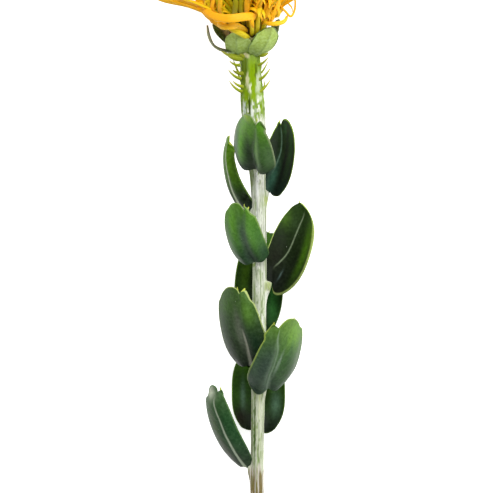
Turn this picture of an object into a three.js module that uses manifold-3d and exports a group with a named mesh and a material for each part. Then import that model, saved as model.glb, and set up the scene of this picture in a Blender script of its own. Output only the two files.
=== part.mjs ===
// A cut pincushion protea lying on its side: a woody stem with ten folded leaves, a ring of small
// leaves under the head, a scaly cup, and a head of curled ribbons and long knobbed styles.
// Millimetres. The stem runs along +Y to the head, +X is to its right and +Z is up from the surface.

import * as THREE from "three";
import { mergeVertices } from "three/addons/utils/BufferGeometryUtils.js";
import Module from "manifold-3d";

const wasm = await Module();
wasm.setup();

const DEGREE = Math.PI / 180;
const GOLDEN_ANGLE = Math.PI * (3 - Math.sqrt(5));

// The middle of the flower's length and width, in the coordinates that the shapes below use.
const ORIGIN = { x: -3.5, y: 11.7 };

// Gap between neighbouring pieces, and the wider one where a leaf clasps the stem.
const SEAT_GAP = 0.3;
const CLASP_GAP = 0.45;

// Edges shorter than this are taken out of a joined or cut shape.
const LEAST_EDGE = 0.02;

// The stem rises from the surface at its cut end to the head by this slope.
const STEM = {
  cutY: -148,
  cutHeight: 3.05,
  slope: 0.146,
  sides: 12,
  ridge: 0.035,
  cutSlant: 0.55,
  cushionSpread: 0.5,
  cushionRise: 14,
  cushionDrop: 1.6,
};

// Along the stem: distance y, sideways place x and radius.
const STEM_STATIONS = [
  [-150, 5.0, 3.1],
  [-122, 5.15, 3.15],
  [-97, 5.4, 3.2],
  [-67, 5.9, 3.25],
  [-27, 6.35, 3.35],
  [13, 6.45, 3.4],
  [33, 5.6, 3.75],
  [46, 4.8, 4.7],
  [57, 4.1, 5.4],
  [72, 2.95, 5.8],
  [84, 2.25, 5.1],
  [92, 1.7, 5.0],
  [100, 1.6, 5.2],
];

// The head's own axis starts at the stem's top and leans a little to the left.
const HEAD = { x: 1.6, y: 101, yaw: 8, pitch: 8 };

// The scaly cup under the florets.
const CUP = { bottom: -2, rim: 3.4, footRadius: 5.2, rimRadius: 10.4, wall: 0.8, floor: 0.6, sides: 20 };
const CUP_SCALES = { rows: [-0.2, 2.1], proud: 0.7, tip: 0.7, step: 0.2 };

// The hidden cone that the florets stand on.
const CORE = { bottom: 0.9, top: 25, radius: 9.3, sides: 12 };

// Styles: the long pins with a knob at the tip.
const STYLES = {
  count: 60,
  seed: 11,
  length: 51,
  lengthSpread: 0.06,
  widest: 74,
  startShare: 0.55,
  middleShare: 1.18,
  endShare: 0.8,
  jitter: 3,
  radius: 0.65,
  knobRadius: 1.2,
  knobLength: 3.6,
  blend: 5,
};

// Ribbons: the petals' claws, which stand up and then roll back in coils.
const RIBBONS = {
  count: 34,
  seed: 29,
  length: 27,
  lengthSpread: 0.12,
  straight: 0.45,
  leastTurn: 100,
  mostTurn: 280,
  lean: 46,
  sideLean: 50,
  width: 3.2,
  thickness: 0.8,
  steps: 6,
};

// The strands at the front of the head's foot, from their roots on the cone to their ends.
const FRONT_STRANDS = [
  {
    width: 2.4,
    thickness: 1.8,
    path: [
      [0.4, 104.5, 47], [-0.8, 106.2, 51.6], [-4, 109.2, 56.6], [-8, 111.2, 59.6],
    ],
  },
  {
    width: 2.2,
    thickness: 1.8,
    path: [
      [2.4, 104.5, 46.6], [2.8, 106.6, 50.6], [2.4, 111, 54.2], [1.4, 116, 57],
    ],
  },
  {
    width: 2.3,
    thickness: 1.8,
    path: [
      [4.4, 105, 46.2], [5.6, 107.6, 50], [6.1, 112, 53.4], [7.4, 117, 56],
    ],
  },
  {
    width: 2.0,
    thickness: 1.8,
    path: [
      [6.2, 105, 45], [8, 108, 48.6], [10, 112.4, 52], [12, 118, 54.4],
    ],
  },
  {
    width: 2.4,
    thickness: 1.6,
    path: [
      [-4.6, 104.6, 45.5], [-7.4, 107.4, 48.8], [-11.4, 110.4, 51.6], [-16, 114.6, 53.4],
      [-19.6, 119.6, 54],
    ],
  },
  {
    width: 4.8,
    thickness: 0.8,
    path: [
      [2.2, 111.2, 56], [0.8, 115, 60.6], [-3, 115.2, 63.4], [-7.4, 114.3, 64.4],
      [-12, 115, 63], [-16.2, 117.8, 60.4], [-18.4, 122.4, 57],
    ],
  },
  {
    width: 2.7,
    thickness: 0.8,
    path: [
      [1.6, 108.6, 52.6], [0.4, 111.6, 57.6], [-3.4, 111, 60.4], [-8, 110.4, 60.6],
      [-12.2, 110, 58.4], [-15, 112.6, 55.4],
    ],
  },
  {
    width: 3.2,
    thickness: 0.8,
    path: [
      [-9.6, 109, 50], [-12.8, 109.4, 53.4], [-16.4, 112.2, 55], [-20.2, 115.8, 54],
      [-23.4, 119.2, 51.6], [-24.6, 123.4, 48],
    ],
  },
  {
    width: 2.3,
    thickness: 0.8,
    path: [
      [7.4, 110.4, 48], [10.6, 110.2, 54.2], [15, 110.2, 56], [18.8, 111.4, 54],
      [20.6, 114.4, 50.6],
    ],
  },
  {
    width: 1.5,
    thickness: 0.9,
    path: [
      [12.6, 119, 46], [15.4, 120.4, 49.6], [18.8, 116.9, 51.4], [21.8, 114, 50.8],
      [23.6, 116.4, 49.4], [24.2, 121, 48.4], [23.4, 126, 47.6],
    ],
  },
  {
    width: 2.6,
    thickness: 1.6,
    path: [
      [-3.4, 108, 48], [-6, 113.6, 54.6], [-6.6, 119.4, 58.4], [-7, 126.6, 59.6],
    ],
  },
  {
    width: 2.4,
    thickness: 1.6,
    path: [
      [-1, 109.6, 48.4], [-2.8, 115, 55.6], [-3.6, 121.6, 59.6], [-3.8, 128, 60.6],
    ],
  },
  {
    width: 2.4,
    thickness: 1.6,
    path: [
      [-6, 109, 46.6], [-12, 114.4, 53.4], [-15, 119.6, 56], [-15.8, 127, 57],
    ],
  },
];

// Styles with a place of their own: the lowest three on the left, which stand out nearly square to
// the stem, and two that reach down and rest on the surface.
const SIDE_STYLES = [
  [[-6.6, 107, 43.5], [-16, 115.4, 48.4], [-30, 120.4, 50.6], [-43, 123.4, 51], [-52.4, 130.6, 50]],
  [[-6, 108.5, 45.5], [-16, 117.8, 52.4], [-30, 122.6, 55.6], [-43, 126.2, 56.6], [-51, 134, 55.6]],
  [[-7, 106.5, 41], [-17, 115.6, 43.4], [-30, 118.6, 44.6], [-43, 121.6, 44.4], [-52.6, 128.2, 43]],
  [[-3, 110, 36], [-9.6, 116, 26.5], [-18, 119.4, 13.5], [-24.6, 121.6, 2.4], [-28.4, 125, -5]],
  [[5, 110.5, 36], [13.4, 116, 27.5], [22.4, 119.4, 14.5], [30, 122, 2.8], [34.4, 125.6, -5]],
];

// Small awl-shaped leaves on the stalk under the head.
const AWLS = { count: 20, fromY: 73, toY: 89.5, length: 7.2, radius: 0.75, rootRadius: 1.2, seed: 5 };

// The blades of the big leaves and of the small ones under the head.
const BLADE = {
  rows: 9,
  halfColumns: [0, 0.24, 0.62, 1],
  midThickness: 1.15,
  edgeThickness: 0.8,
  widestAt: 0.45,
  baseWidth: 0.62,
  narrowing: 2.7,
  bluntness: 0.52,
  endShare: 1.02,
  lobeTurn: 2.67,
  tipRound: 0.012,
};
const SMALL_BLADE = { ...BLADE, rows: 6, baseWidth: 0.36, midThickness: 0.95 };

// A callous tooth stands at the blade's tip, and one on each margin beside it.
const TOOTH = { length: 1.1, beside: 0.925, halfBase: 0.03, fromAcross: 0.3, fromBelow: 0.05 };

// How high the blend is where a blade turns to lie on the surface.
const BLADE_BLEND = 0.8;

// Each leaf: where it grows (y, and azimuth round the stem in degrees from +X towards +Z), how high
// its cushion stands, its tip, the way its upper face looks, and its size and folds.
const LEAVES = [
  {
    name: "leaf_01", y: 39.4, azimuth: 91, cushion: 1.4, tip: [2, 63.9, 68],
    face: [0.55, 0.67, -0.49], width: 23.6, lobe: 2,
    lean: 0.01, skew: 0.15, fold: 0.25, bulge: 0.25, bow: 7.3, sway: -4.8, twist: -28,
  },
  {
    name: "leaf_02", y: 26.6, azimuth: -23, cushion: 2, tip: [18.9, 64.9, 19.8],
    face: [-0.44, 0.25, 0.86], width: 16.3, lobe: 1.5,
    lean: -0.27, skew: 0.19, fold: 0.45, bulge: 0.06, bow: 1.5, sway: 4.1, twist: -26,
  },
  {
    name: "leaf_03", y: 18.3, azimuth: 190, cushion: 1.6, tip: [-9.6, 55.1, 35.6],
    face: [0.85, 0.33, -0.41], width: 14.2, lobe: 4.4,
    lean: -0.06, skew: 0.21, fold: 0.5, bulge: 0.15, bow: 8, sway: 5.6, twist: -24,
  },
  {
    name: "leaf_04", y: -6.3, azimuth: 112, cushion: 1.6, tip: [-4.4, 22, 50.2],
    face: [0.27, 0.61, -0.74], width: 19.4, lobe: 1.5,
    lean: -0.02, skew: 0.03, fold: 0.24, bulge: 0.18, bow: 6.5, sway: 1.8, twist: -25,
  },
  {
    name: "leaf_05", y: -18.3, azimuth: -4, cushion: 2.7, tip: [27.2, 22, 18.5],
    face: [-0.33, 0.19, 0.92], width: 22.4, lobe: 3.7,
    lean: 0.12, skew: 0.12, fold: 0.35, bulge: 0.05, bow: 0.8, sway: 5.6, twist: -20,
  },
  {
    name: "leaf_06", y: -40.7, azimuth: 270, cushion: 1.2, tip: [11.5, 7.7, 5.6],
    face: [0.04, 0.19, 0.98], width: 24.1, lobe: 3.4,
    lean: -0.01, skew: 0.02, fold: 0.26, bulge: 0.06, bow: 0.7, sway: -5.1, twist: 4,
  },
  {
    name: "leaf_07", y: -58.6, azimuth: 133, cushion: 1.5, tip: [-8.7, -18.7, 35.3],
    face: [0.43, 0.41, -0.81], width: 23.4, lobe: 1.8,
    lean: -0.5, skew: -0.01, fold: 0.35, bulge: 0.15, bow: 5.4, sway: 1.1, twist: -26,
  },
  {
    name: "leaf_08", y: -70, azimuth: 33, cushion: 1.8, tip: [23.3, -35, 41.3],
    face: [-0.5, 0.59, -0.64], width: 27, lobe: 3.2,
    lean: 0.26, skew: -0.01, fold: 0.24, bulge: 0.18, bow: 7, sway: 3, twist: 23,
  },
  {
    name: "leaf_09", y: -91.6, azimuth: 271, cushion: 1, tip: [5.6, -51.6, -1.2],
    face: [-0.04, 0.2, 0.98], width: 26.4, lobe: 2.7,
    lean: 0.15, skew: 0.03, fold: 0.22, bulge: 0.1, bow: 1.5, sway: 0.2, twist: -6,
  },
  {
    name: "leaf_10", y: -110.8, azimuth: 182, cushion: 1.6, tip: [-17.2, -70.1, 22.5],
    face: [0.53, 0.45, -0.72], width: 16.4, lobe: 1.4,
    lean: 0, skew: 0.15, fold: 0.4, bulge: 0.07, bow: 7.7, sway: 3.1, twist: -6,
  },
];

// The small broad leaves that cup the head from below.
const COLLAR_LEAVES = [
  {
    name: "collar_leaf_1", y: 94.4, azimuth: 133, tip: [-7, 107, 53.9],
    face: [0.3, 0.6, -0.7], width: 12, lobe: 1,
    lean: 0, skew: 0, fold: 0.3, bulge: -0.06, bow: 3.8, sway: 0, twist: 0,
  },
  {
    name: "collar_leaf_2", y: 94, azimuth: 51, tip: [12.8, 109, 53],
    face: [-0.4, 0.6, -0.7], width: 13.6, lobe: 1.2,
    lean: 0, skew: 0, fold: 0.3, bulge: -0.06, bow: 3.4, sway: 0, twist: 0,
  },
  {
    name: "collar_leaf_3", y: 94.8, azimuth: 185, tip: [-19.6, 110.4, 43],
    face: [0.66, 0.75, 0.04], width: 10, lobe: 1,
    lean: 0, skew: 0, fold: 0.12, bulge: 0, bow: 9, sway: 0, twist: 0,
  },
  {
    name: "collar_leaf_4", y: 94.6, azimuth: -11, tip: [17.2, 113, 37.2],
    face: [-0.7, 0.5, 0.4], width: 10.8, lobe: 1,
    lean: 0, skew: 0, fold: 0.25, bulge: -0.05, bow: 4, sway: 0, twist: 0,
  },
  {
    name: "collar_leaf_5", y: 95.2, azimuth: 236, tip: [-14.8, 110.6, 28.4],
    face: [0.5, 0.5, 0.7], width: 11.6, lobe: 1,
    lean: 0, skew: 0, fold: 0.25, bulge: -0.05, bow: 3, sway: 0, twist: 0,
  },
  {
    name: "collar_leaf_6", y: 94.4, azimuth: 283, tip: [5, 111, 24],
    face: [-0.3, 0.6, 0.8], width: 12.1, lobe: 1,
    lean: 0, skew: 0, fold: 0.25, bulge: -0.05, bow: 4, sway: 0, twist: 0,
  },
];

const COLOURS = {
  stem: { color: 0xc3cbab, roughness: 0.8 },
  leaf: { color: 0x3c5e2b, roughness: 0.42 },
  collar: { color: 0x9fb65f, roughness: 0.65 },
  cup: { color: 0x9a8f6a, roughness: 0.85 },
  head: { color: 0xf0b12a, roughness: 0.55 },
};

const vec = (x, y, z) => new THREE.Vector3(x, y, z);

// Seeded draws from 0 to 1.
function randomSource(seed) {
  let state = seed;
  return () => {
    state = (state * 1664525 + 1013904223) % 4294967296;
    return state / 4294967296;
  };
}

function smoothstep(x) {
  const t = Math.min(1, Math.max(0, x));
  return t * t * (3 - 2 * t);
}

// Smooth value of a column of a station table at distance y.
function alongStations(table, y, column) {
  let i = 0;
  while (i < table.length - 2 && y > table[i + 1][0]) i++;
  const slopeAt = (k) => {
    const before = table[Math.max(0, k - 1)];
    const after = table[Math.min(table.length - 1, k + 1)];
    return (after[column] - before[column]) / (after[0] - before[0]);
  };
  const [a, b] = [table[i], table[i + 1]];
  const span = b[0] - a[0];
  const t = (y - a[0]) / span;
  const t2 = t * t;
  const t3 = t2 * t;
  return (
    (2 * t3 - 3 * t2 + 1) * a[column] +
    (t3 - 2 * t2 + t) * span * slopeAt(i) +
    (3 * t2 - 2 * t3) * b[column] +
    (t3 - t2) * span * slopeAt(i + 1)
  );
}

// Keeps a point of a strand of radius r off the surface: what would reach below lies along it, and
// the turn between the two is as high as the blend.
function settle(point, r, blend) {
  const depth = point.z - r + blend;
  if (depth <= 0) point.z = r;
  else if (depth < 2 * blend) point.z = r + (depth * depth) / (4 * blend);
  return point;
}

// Solids and meshes

function solidOf(geometry) {
  const plain = geometry.clone();
  plain.deleteAttribute("normal");
  plain.deleteAttribute("uv");
  const merged = mergeVertices(plain, 1e-4);
  return new wasm.Manifold(
    new wasm.Mesh({
      numProp: 3,
      vertProperties: merged.attributes.position.array,
      triVerts: new Uint32Array(merged.index.array),
    }),
  );
}

function geometryOf(solid) {
  const { numProp, vertProperties, triVerts } = solid.getMesh();
  const geometry = new THREE.BufferGeometry();
  const points = new THREE.InterleavedBuffer(vertProperties, numProp);
  geometry.setAttribute("position", new THREE.InterleavedBufferAttribute(points, 3, 0));
  geometry.setIndex(new THREE.BufferAttribute(triVerts, 1));
  const loose = geometry.toNonIndexed();
  loose.computeVertexNormals();
  return loose;
}

// The biggest body. Scraps and the hollows that joining seals are dropped.
function largest(solid) {
  return solid.decompose().reduce((best, body) => (body.volume() > best.volume() ? body : best));
}

function fuse(solids) {
  return largest(wasm.Manifold.union(solids)).simplify(LEAST_EDGE);
}

function meshOf(name, geometry, look) {
  const mesh = new THREE.Mesh(geometry, new THREE.MeshStandardMaterial({ metalness: 0, ...look }));
  mesh.name = name;
  return mesh;
}

// A closed skin over rings of points, all with the same count, with a fan at each end. The rings
// turn clockwise when seen from their start. What would reach below the surface is pressed flat.
function loft(rings) {
  const sides = rings[0].length;
  const centre = (ring) =>
    ring.reduce((sum, p) => sum.add(p), vec(0, 0, 0)).divideScalar(sides);
  const points = [...rings.flat(), centre(rings[0]), centre(rings.at(-1))];
  for (const point of points) point.z = Math.max(0, point.z);
  const [first, last] = [points.length - 2, points.length - 1];
  const index = [];
  for (let r = 0; r < rings.length - 1; r++)
    for (let s = 0; s < sides; s++) {
      const a = r * sides + s;
      const b = r * sides + ((s + 1) % sides);
      index.push(a, b, b + sides, a, b + sides, a + sides);
    }
  const end = (rings.length - 1) * sides;
  for (let s = 0; s < sides; s++) {
    const next = (s + 1) % sides;
    index.push(first, next, s, last, end + s, end + next);
  }
  const geometry = new THREE.BufferGeometry().setFromPoints(points);
  geometry.setIndex(index);
  return geometry;
}

// The stem

const stemHeight = (y) => STEM.cutHeight + STEM.slope * (y - STEM.cutY);
const stemAxis = (y) => vec(alongStations(STEM_STATIONS, y, 1), y, stemHeight(y));

function stemFrame(y) {
  const along = stemAxis(y + 1).sub(stemAxis(y - 1)).normalize();
  const right = vec(1, 0, 0).addScaledVector(along, -along.x).normalize();
  const up = right.clone().cross(along);
  return { centre: stemAxis(y), along, right, up };
}

// How far a leaf's cushion raises the stem at distance y and angle.
function cushionHeight(leaf, y, angle) {
  const turn = Math.atan2(
    Math.sin(angle - leaf.azimuth * DEGREE),
    Math.cos(angle - leaf.azimuth * DEGREE),
  );
  const round = Math.exp(-((turn / STEM.cushionSpread) ** 2));
  const rise = smoothstep(1 + (y - leaf.y) / STEM.cushionRise) ** 2;
  const drop = 1 - smoothstep((y - leaf.y) / STEM.cushionDrop);
  return leaf.cushion * round * rise * drop;
}

function stemRadius(y, angle) {
  const cushions = LEAVES.reduce((sum, leaf) => sum + cushionHeight(leaf, y, angle), 0);
  return alongStations(STEM_STATIONS, y, 2) * (1 + STEM.ridge * Math.cos(4 * angle)) + cushions;
}

// A point at a distance from the stem's axis.
function besideStem(y, angle, distance) {
  const { centre, right, up } = stemFrame(y);
  return centre
    .addScaledVector(right, Math.cos(angle) * distance)
    .addScaledVector(up, Math.sin(angle) * distance);
}

function stemRing(y, slant, gap) {
  return Array.from({ length: STEM.sides }, (_, s) => {
    const angle = (-s / STEM.sides) * 2 * Math.PI;
    const radius = stemRadius(y, angle);
    return besideStem(y + slant * radius * Math.sin(angle), angle, radius + gap);
  });
}

function stemRingPlaces() {
  const places = [STEM.cutY + 4, -136, -128, 46, 53, 60, 67, 74, 81, 88, 94];
  for (const { y } of LEAVES) places.push(y - 10, y - 3.5, y - 0.2, y + STEM.cushionDrop);
  places.sort((a, b) => a - b);
  return places.filter((y, i) => i === 0 || y - places[i - 1] > 0.9);
}

// A spike along a bent line: rings of three corners that taper to the tip.
function spike(points, radii) {
  const start = points[1].clone().sub(points[0]).normalize();
  const helper = Math.abs(start.z) < 0.9 ? vec(0, 0, 1) : vec(1, 0, 0);
  let side = helper.cross(start).normalize();
  const rings = points.map((point, i) => {
    const before = points[Math.max(0, i - 1)];
    const after = points[Math.min(points.length - 1, i + 1)];
    const along = after.clone().sub(before).normalize();
    side = side.addScaledVector(along, -side.dot(along)).normalize();
    const other = along.clone().cross(side);
    return [0, 1, 2].map((corner) => {
      const angle = (corner / 3) * 2 * Math.PI;
      return point
        .clone()
        .addScaledVector(side, radii[i] * Math.cos(angle))
        .addScaledVector(other, radii[i] * Math.sin(angle));
    });
  });
  return loft(rings);
}

// One awl-shaped leaf: it leaves the stalk at a slant and curves up towards the head.
function awl(number, random) {
  const y = AWLS.fromY + ((number + 0.5) / AWLS.count) * (AWLS.toY - AWLS.fromY);
  const angle = number * GOLDEN_ANGLE + 0.4 * (random() - 0.5);
  const length = AWLS.length * (0.85 + 0.3 * random());
  const radius = stemRadius(y, angle);
  const points = [
    besideStem(y - 0.8, angle, radius - 1.6),
    besideStem(y + 0.16 * length, angle, radius + 0.3 * length),
    besideStem(y + 0.5 * length, angle, radius + 0.6 * length),
    besideStem(y + 0.95 * length, angle, radius + 0.78 * length),
  ];
  return spike(points, [AWLS.rootRadius, AWLS.radius, 0.8 * AWLS.radius, 0.15]);
}

// The stem without its awls, grown by a gap on all sides.
function stemBody(gap) {
  const places = stemRingPlaces();
  return solidOf(
    loft([
      stemRing(STEM.cutY, STEM.cutSlant, gap),
      ...places.map((y) => stemRing(y, 0, gap)),
      headRing(CUP.bottom - SEAT_GAP + gap, CUP.footRadius + gap, STEM.sides),
    ]),
  );
}

function stem() {
  const random = randomSource(AWLS.seed);
  const awls = Array.from({ length: AWLS.count }, (_, i) => solidOf(awl(i, random)));
  return geometryOf(fuse([stemBody(0), ...awls]));
}

// Leaves

// Half a blade's width at share v of its length, as a share of the widest.
function bladeWidth(blade, v) {
  if (v < blade.widestAt) {
    const x = (blade.widestAt - v) / blade.widestAt;
    return 1 - (1 - blade.baseWidth) * x * x;
  }
  const x = (v - blade.widestAt) / (blade.endShare - blade.widestAt);
  return (1 - x ** blade.narrowing) ** blade.bluntness;
}

// The midrib's curve and the directions across it, at share t from the leaf's foot to its tip.
function leafSpine(leaf, foot) {
  const tip = vec(...leaf.tip);
  const chord = tip.clone().sub(foot);
  const length = chord.length();
  const face = vec(...leaf.face);
  face.addScaledVector(chord, -face.dot(chord) / (length * length)).normalize();
  const side = chord.clone().normalize().cross(face);
  const bend = foot.clone().lerp(tip, 0.5);
  bend.addScaledVector(face, -leaf.bow).addScaledVector(side, leaf.sway);
  return { curve: new THREE.QuadraticBezierCurve3(foot, bend, tip), face, length };
}

// A point of the leaf: u from -1 to 1 across, v from 0 to 1 along, lifted off its middle surface.
function leafPoint(leaf, spine, u, v, lift) {
  const x = Math.abs(u);
  const { lobeTurn, tipRound } = leaf.blade;
  const half = (leaf.width / 2) * bladeWidth(leaf.blade, v) * (1 + leaf.skew * Math.sign(u));
  const lobe = leaf.lobe * (1 + leaf.lean * Math.sign(u)) * (1 - v) ** 2 * Math.sin(lobeTurn * x ** 0.8);
  const t = v - lobe / spine.length - tipRound * v ** 8 * x * x;
  const along = spine.curve.getTangent(Math.max(0, t));
  const twist = leaf.twist * DEGREE * (v - 0.5);
  const face = spine.face.clone().addScaledVector(along, -spine.face.dot(along)).normalize();
  face.applyAxisAngle(along, twist);
  const side = along.clone().cross(face);
  const hollow = half * (leaf.fold * x ** 1.5 - leaf.bulge * (1.5 - v) * Math.sin(Math.PI * x));
  const point = spine.curve.getPoint(Math.max(0, t));
  if (t < 0) point.addScaledVector(along, t * spine.length);
  return point.addScaledVector(side, u * half).addScaledVector(face, hollow + lift);
}

// Rows of points along a blade, closer at the tip, with a narrow place for the teeth beside it.
function bladeRows({ rows }, toothed) {
  const places = Array.from({ length: rows + 1 }, (_, r) => 1 - (1 - r / rows) ** 1.25);
  if (!toothed) return places;
  const { beside, halfBase } = TOOTH;
  const plain = places.filter((v) => Math.abs(v - beside) > 2 * halfBase);
  return [...plain, beside - halfBase, beside, beside + halfBase].sort((a, b) => a - b);
}

// The way that a tooth at (u, v) points, away from the blade's middle.
function toothDirection(leaf, spine, u, v) {
  const inner = leafPoint(leaf, spine, TOOTH.fromAcross * u, v - TOOTH.fromBelow, 0);
  return leafPoint(leaf, spine, u, v, 0).sub(inner).normalize();
}

// The blade: two alike faces a thickness apart and a rim between them.
function bladeSolid(leaf, spine, toothed) {
  const { halfColumns, midThickness, edgeThickness } = leaf.blade;
  const columns = [...halfColumns.slice(1).reverse().map((x) => -x), ...halfColumns];
  const places = bladeRows(leaf.blade, toothed);
  const points = [];
  for (const sign of [1, -1])
    for (const v of places)
      for (const u of columns) {
        const thickness = midThickness + (edgeThickness - midThickness) * Math.abs(u);
        const point = leafPoint(leaf, spine, u, v, (sign * thickness) / 2);
        const pointed = (u === 0 && v === 1) || (Math.abs(u) === 1 && v === TOOTH.beside);
        if (toothed && pointed) point.addScaledVector(toothDirection(leaf, spine, u, v), TOOTH.length);
        points.push(settle(point, sign > 0 ? thickness : 0, BLADE_BLEND));
      }
  const across = columns.length;
  const rows = places.length - 1;
  const face = places.length * across;
  const index = [];
  const quad = (a, b, c, d) => index.push(a, b, c, a, c, d);
  for (let r = 0; r < rows; r++)
    for (let c = 0; c < across - 1; c++) {
      const [a, b] = [r * across + c, r * across + c + 1];
      const [d, e] = [a + across, b + across];
      quad(a, b, e, d);
      index.push(face + a, face + e, face + b, face + a, face + d, face + e);
    }
  const rim = [];
  for (let c = 0; c < across - 1; c++) rim.push(c);
  for (let r = 0; r < rows; r++) rim.push(r * across + across - 1);
  for (let c = across - 1; c > 0; c--) rim.push(rows * across + c);
  for (let r = rows; r > 0; r--) rim.push(r * across);
  rim.forEach((a, i) => {
    const b = rim[(i + 1) % rim.length];
    quad(a, face + a, face + b, b);
  });
  const geometry = new THREE.BufferGeometry().setFromPoints(points);
  geometry.setIndex(index);
  return solidOf(geometry);
}

// A leaf with the room for the stem taken out of its foot, which clasps the stem.
function leafGeometry(leaf, room, toothed) {
  const blade = bladeSolid(leaf, leafSpine(leaf, leafFoot(leaf)), toothed);
  return geometryOf(largest(blade.subtract(room)).simplify(LEAST_EDGE));
}

function leafFoot(leaf) {
  const angle = leaf.azimuth * DEGREE;
  return besideStem(leaf.y, angle, stemRadius(leaf.y, angle) + CLASP_GAP + leaf.blade.midThickness / 2);
}

// The head

const headAxes = (() => {
  const [yaw, pitch] = [HEAD.yaw * DEGREE, HEAD.pitch * DEGREE];
  const out = vec(-Math.sin(yaw) * Math.cos(pitch), Math.cos(yaw) * Math.cos(pitch), Math.sin(pitch));
  const right = vec(Math.cos(yaw), Math.sin(yaw), 0);
  const up = right.clone().cross(out);
  return { out, right, up };
})();

// A unit vector at an angle from the head's axis, towards an azimuth round it.
function headDirection(polar, azimuth) {
  return headAxes.out
    .clone()
    .multiplyScalar(Math.cos(polar))
    .addScaledVector(headAxes.right, Math.sin(polar) * Math.cos(azimuth))
    .addScaledVector(headAxes.up, Math.sin(polar) * Math.sin(azimuth));
}

// A point at a height along the head's axis and a distance from it.
function headPoint(height, distance, azimuth) {
  return vec(HEAD.x, HEAD.y, stemHeight(HEAD.y))
    .addScaledVector(headAxes.out, height)
    .addScaledVector(headDirection(Math.PI / 2, azimuth), distance);
}

function headRing(height, distance, sides) {
  return Array.from({ length: sides }, (_, s) =>
    headPoint(height, distance, (-s / sides) * 2 * Math.PI),
  );
}

// Where a floret at polar share k (0 at the top, 1 at the lowest ring) stands on the core.
function floretFoot(k, azimuth) {
  const lean = (k * Math.PI) / 2;
  return headPoint(7 + 15 * Math.cos(lean), 8.6 * Math.sin(lean), azimuth);
}

function core() {
  const { bottom, top, radius, sides } = CORE;
  const rings = [
    headRing(bottom, 0.75 * radius, sides),
    headRing(bottom + 4, 0.97 * radius, sides),
    headRing(bottom + 9, radius, sides),
    headRing(bottom + 16, 0.78 * radius, sides),
    headRing(top - 3, 0.45 * radius, sides),
    headRing(top, 0.1 * radius, sides),
  ];
  return loft(rings);
}

// One style: it rises, arches outwards and turns up at its tip, which ends in a knob.
function style(number, random) {
  const share = (number + 0.5) / STYLES.count;
  const widest = STYLES.widest * DEGREE;
  const jitter = () => STYLES.jitter * DEGREE * 2 * (random() - 0.5);
  const polar = Math.acos(1 - share * (1 - Math.cos(widest)));
  const azimuth = number * GOLDEN_ANGLE + jitter();
  const leg = (STYLES.length * (1 + STYLES.lengthSpread * 2 * (random() - 0.5))) / 3;
  const foot = floretFoot(polar / widest, azimuth);
  const legs = [STYLES.startShare, STYLES.middleShare, STYLES.endShare];
  const bends = [foot];
  for (const part of legs) {
    const direction = headDirection(part * polar + jitter(), azimuth);
    bends.push(bends.at(-1).clone().addScaledVector(direction, leg));
  }
  return pin(new THREE.CubicBezierCurve3(...bends));
}

// A style along a curve, with its knob.
function pin(curve) {
  const knob = STYLES.knobLength / STYLES.length;
  const places = [0, 0.3, 0.6, 1 - knob, 1 - 0.5 * knob, 1];
  const radii = [1.3, 1, 0.95, 0.85].map((k) => k * STYLES.radius);
  radii.push(STYLES.knobRadius, 0.3 * STYLES.knobRadius);
  const points = places.map((t) => settle(curve.getPoint(t), 0.6 * STYLES.knobRadius, STYLES.blend));
  points[0].addScaledVector(headAxes.out, -1.5);
  return spike(points, radii);
}

// One ribbon: it stands beside its style and rolls outwards in a loose coil.
function ribbon(number, random) {
  const share = (number + 0.5) / RIBBONS.count;
  const k = 0.18 + 0.82 * share ** 0.75;
  const azimuth = number * GOLDEN_ANGLE + 1.1;
  const foot = floretFoot(k, azimuth);
  const start = headDirection(k * RIBBONS.lean * DEGREE, azimuth);
  const outward = headDirection(k * RIBBONS.lean * DEGREE + Math.PI / 2, azimuth);
  outward.applyAxisAngle(start, (random() - 0.5) * 2 * RIBBONS.sideLean * DEGREE);
  const across = start.clone().cross(outward);
  const length = RIBBONS.length * (1 + RIBBONS.lengthSpread * 2 * (random() - 0.5));
  const turn = (RIBBONS.leastTurn + (RIBBONS.mostTurn - RIBBONS.leastTurn) * random()) * DEGREE;
  const step = length / RIBBONS.steps;
  const point = foot.clone().addScaledVector(start, -2);
  const rings = [];
  for (let i = 0; i <= RIBBONS.steps; i++) {
    const s = i / RIBBONS.steps;
    const rolled = Math.max(0, (s - RIBBONS.straight) / (1 - RIBBONS.straight));
    const heading = 0.25 * s + turn * rolled ** 1.2;
    const along = start.clone().multiplyScalar(Math.cos(heading));
    along.addScaledVector(outward, Math.sin(heading));
    const normal = across.clone().cross(along);
    const width = RIBBONS.width * (0.75 + 0.5 * s * (1 - s)) * (s === 1 ? 0.6 : 1);
    rings.push(strapRing(point, across, normal, width, RIBBONS.thickness));
    point.addScaledVector(along, step);
  }
  return loft(rings);
}

// A strand of rectangular section along a path, its flat side turned to the head's middle.
function strand({ path, width, thickness }) {
  const middle = headPoint(CORE.bottom + 14, 0, 0);
  const curve = new THREE.CatmullRomCurve3(path.map((p) => vec(...p)));
  const count = path.length;
  const rings = Array.from({ length: count + 1 }, (_, i) => {
    const point = curve.getPoint(i / count);
    const along = curve.getTangent(i / count);
    const normal = point.clone().sub(middle);
    normal.addScaledVector(along, -normal.dot(along)).normalize();
    const across = along.clone().cross(normal);
    const wide = width * (0.7 + 0.3 * Math.sin((Math.PI * (i + 0.6)) / (count + 0.6)));
    return strapRing(point, across, normal, wide, thickness);
  });
  return loft(rings);
}

// Four corners of a strap's section.
function strapRing(point, across, normal, width, thickness) {
  return [
    [1, 1],
    [1, -1],
    [-1, -1],
    [-1, 1],
  ].map(([a, b]) =>
    point
      .clone()
      .addScaledVector(across, (a * width) / 2)
      .addScaledVector(normal, (b * thickness) / 2),
  );
}

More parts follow.
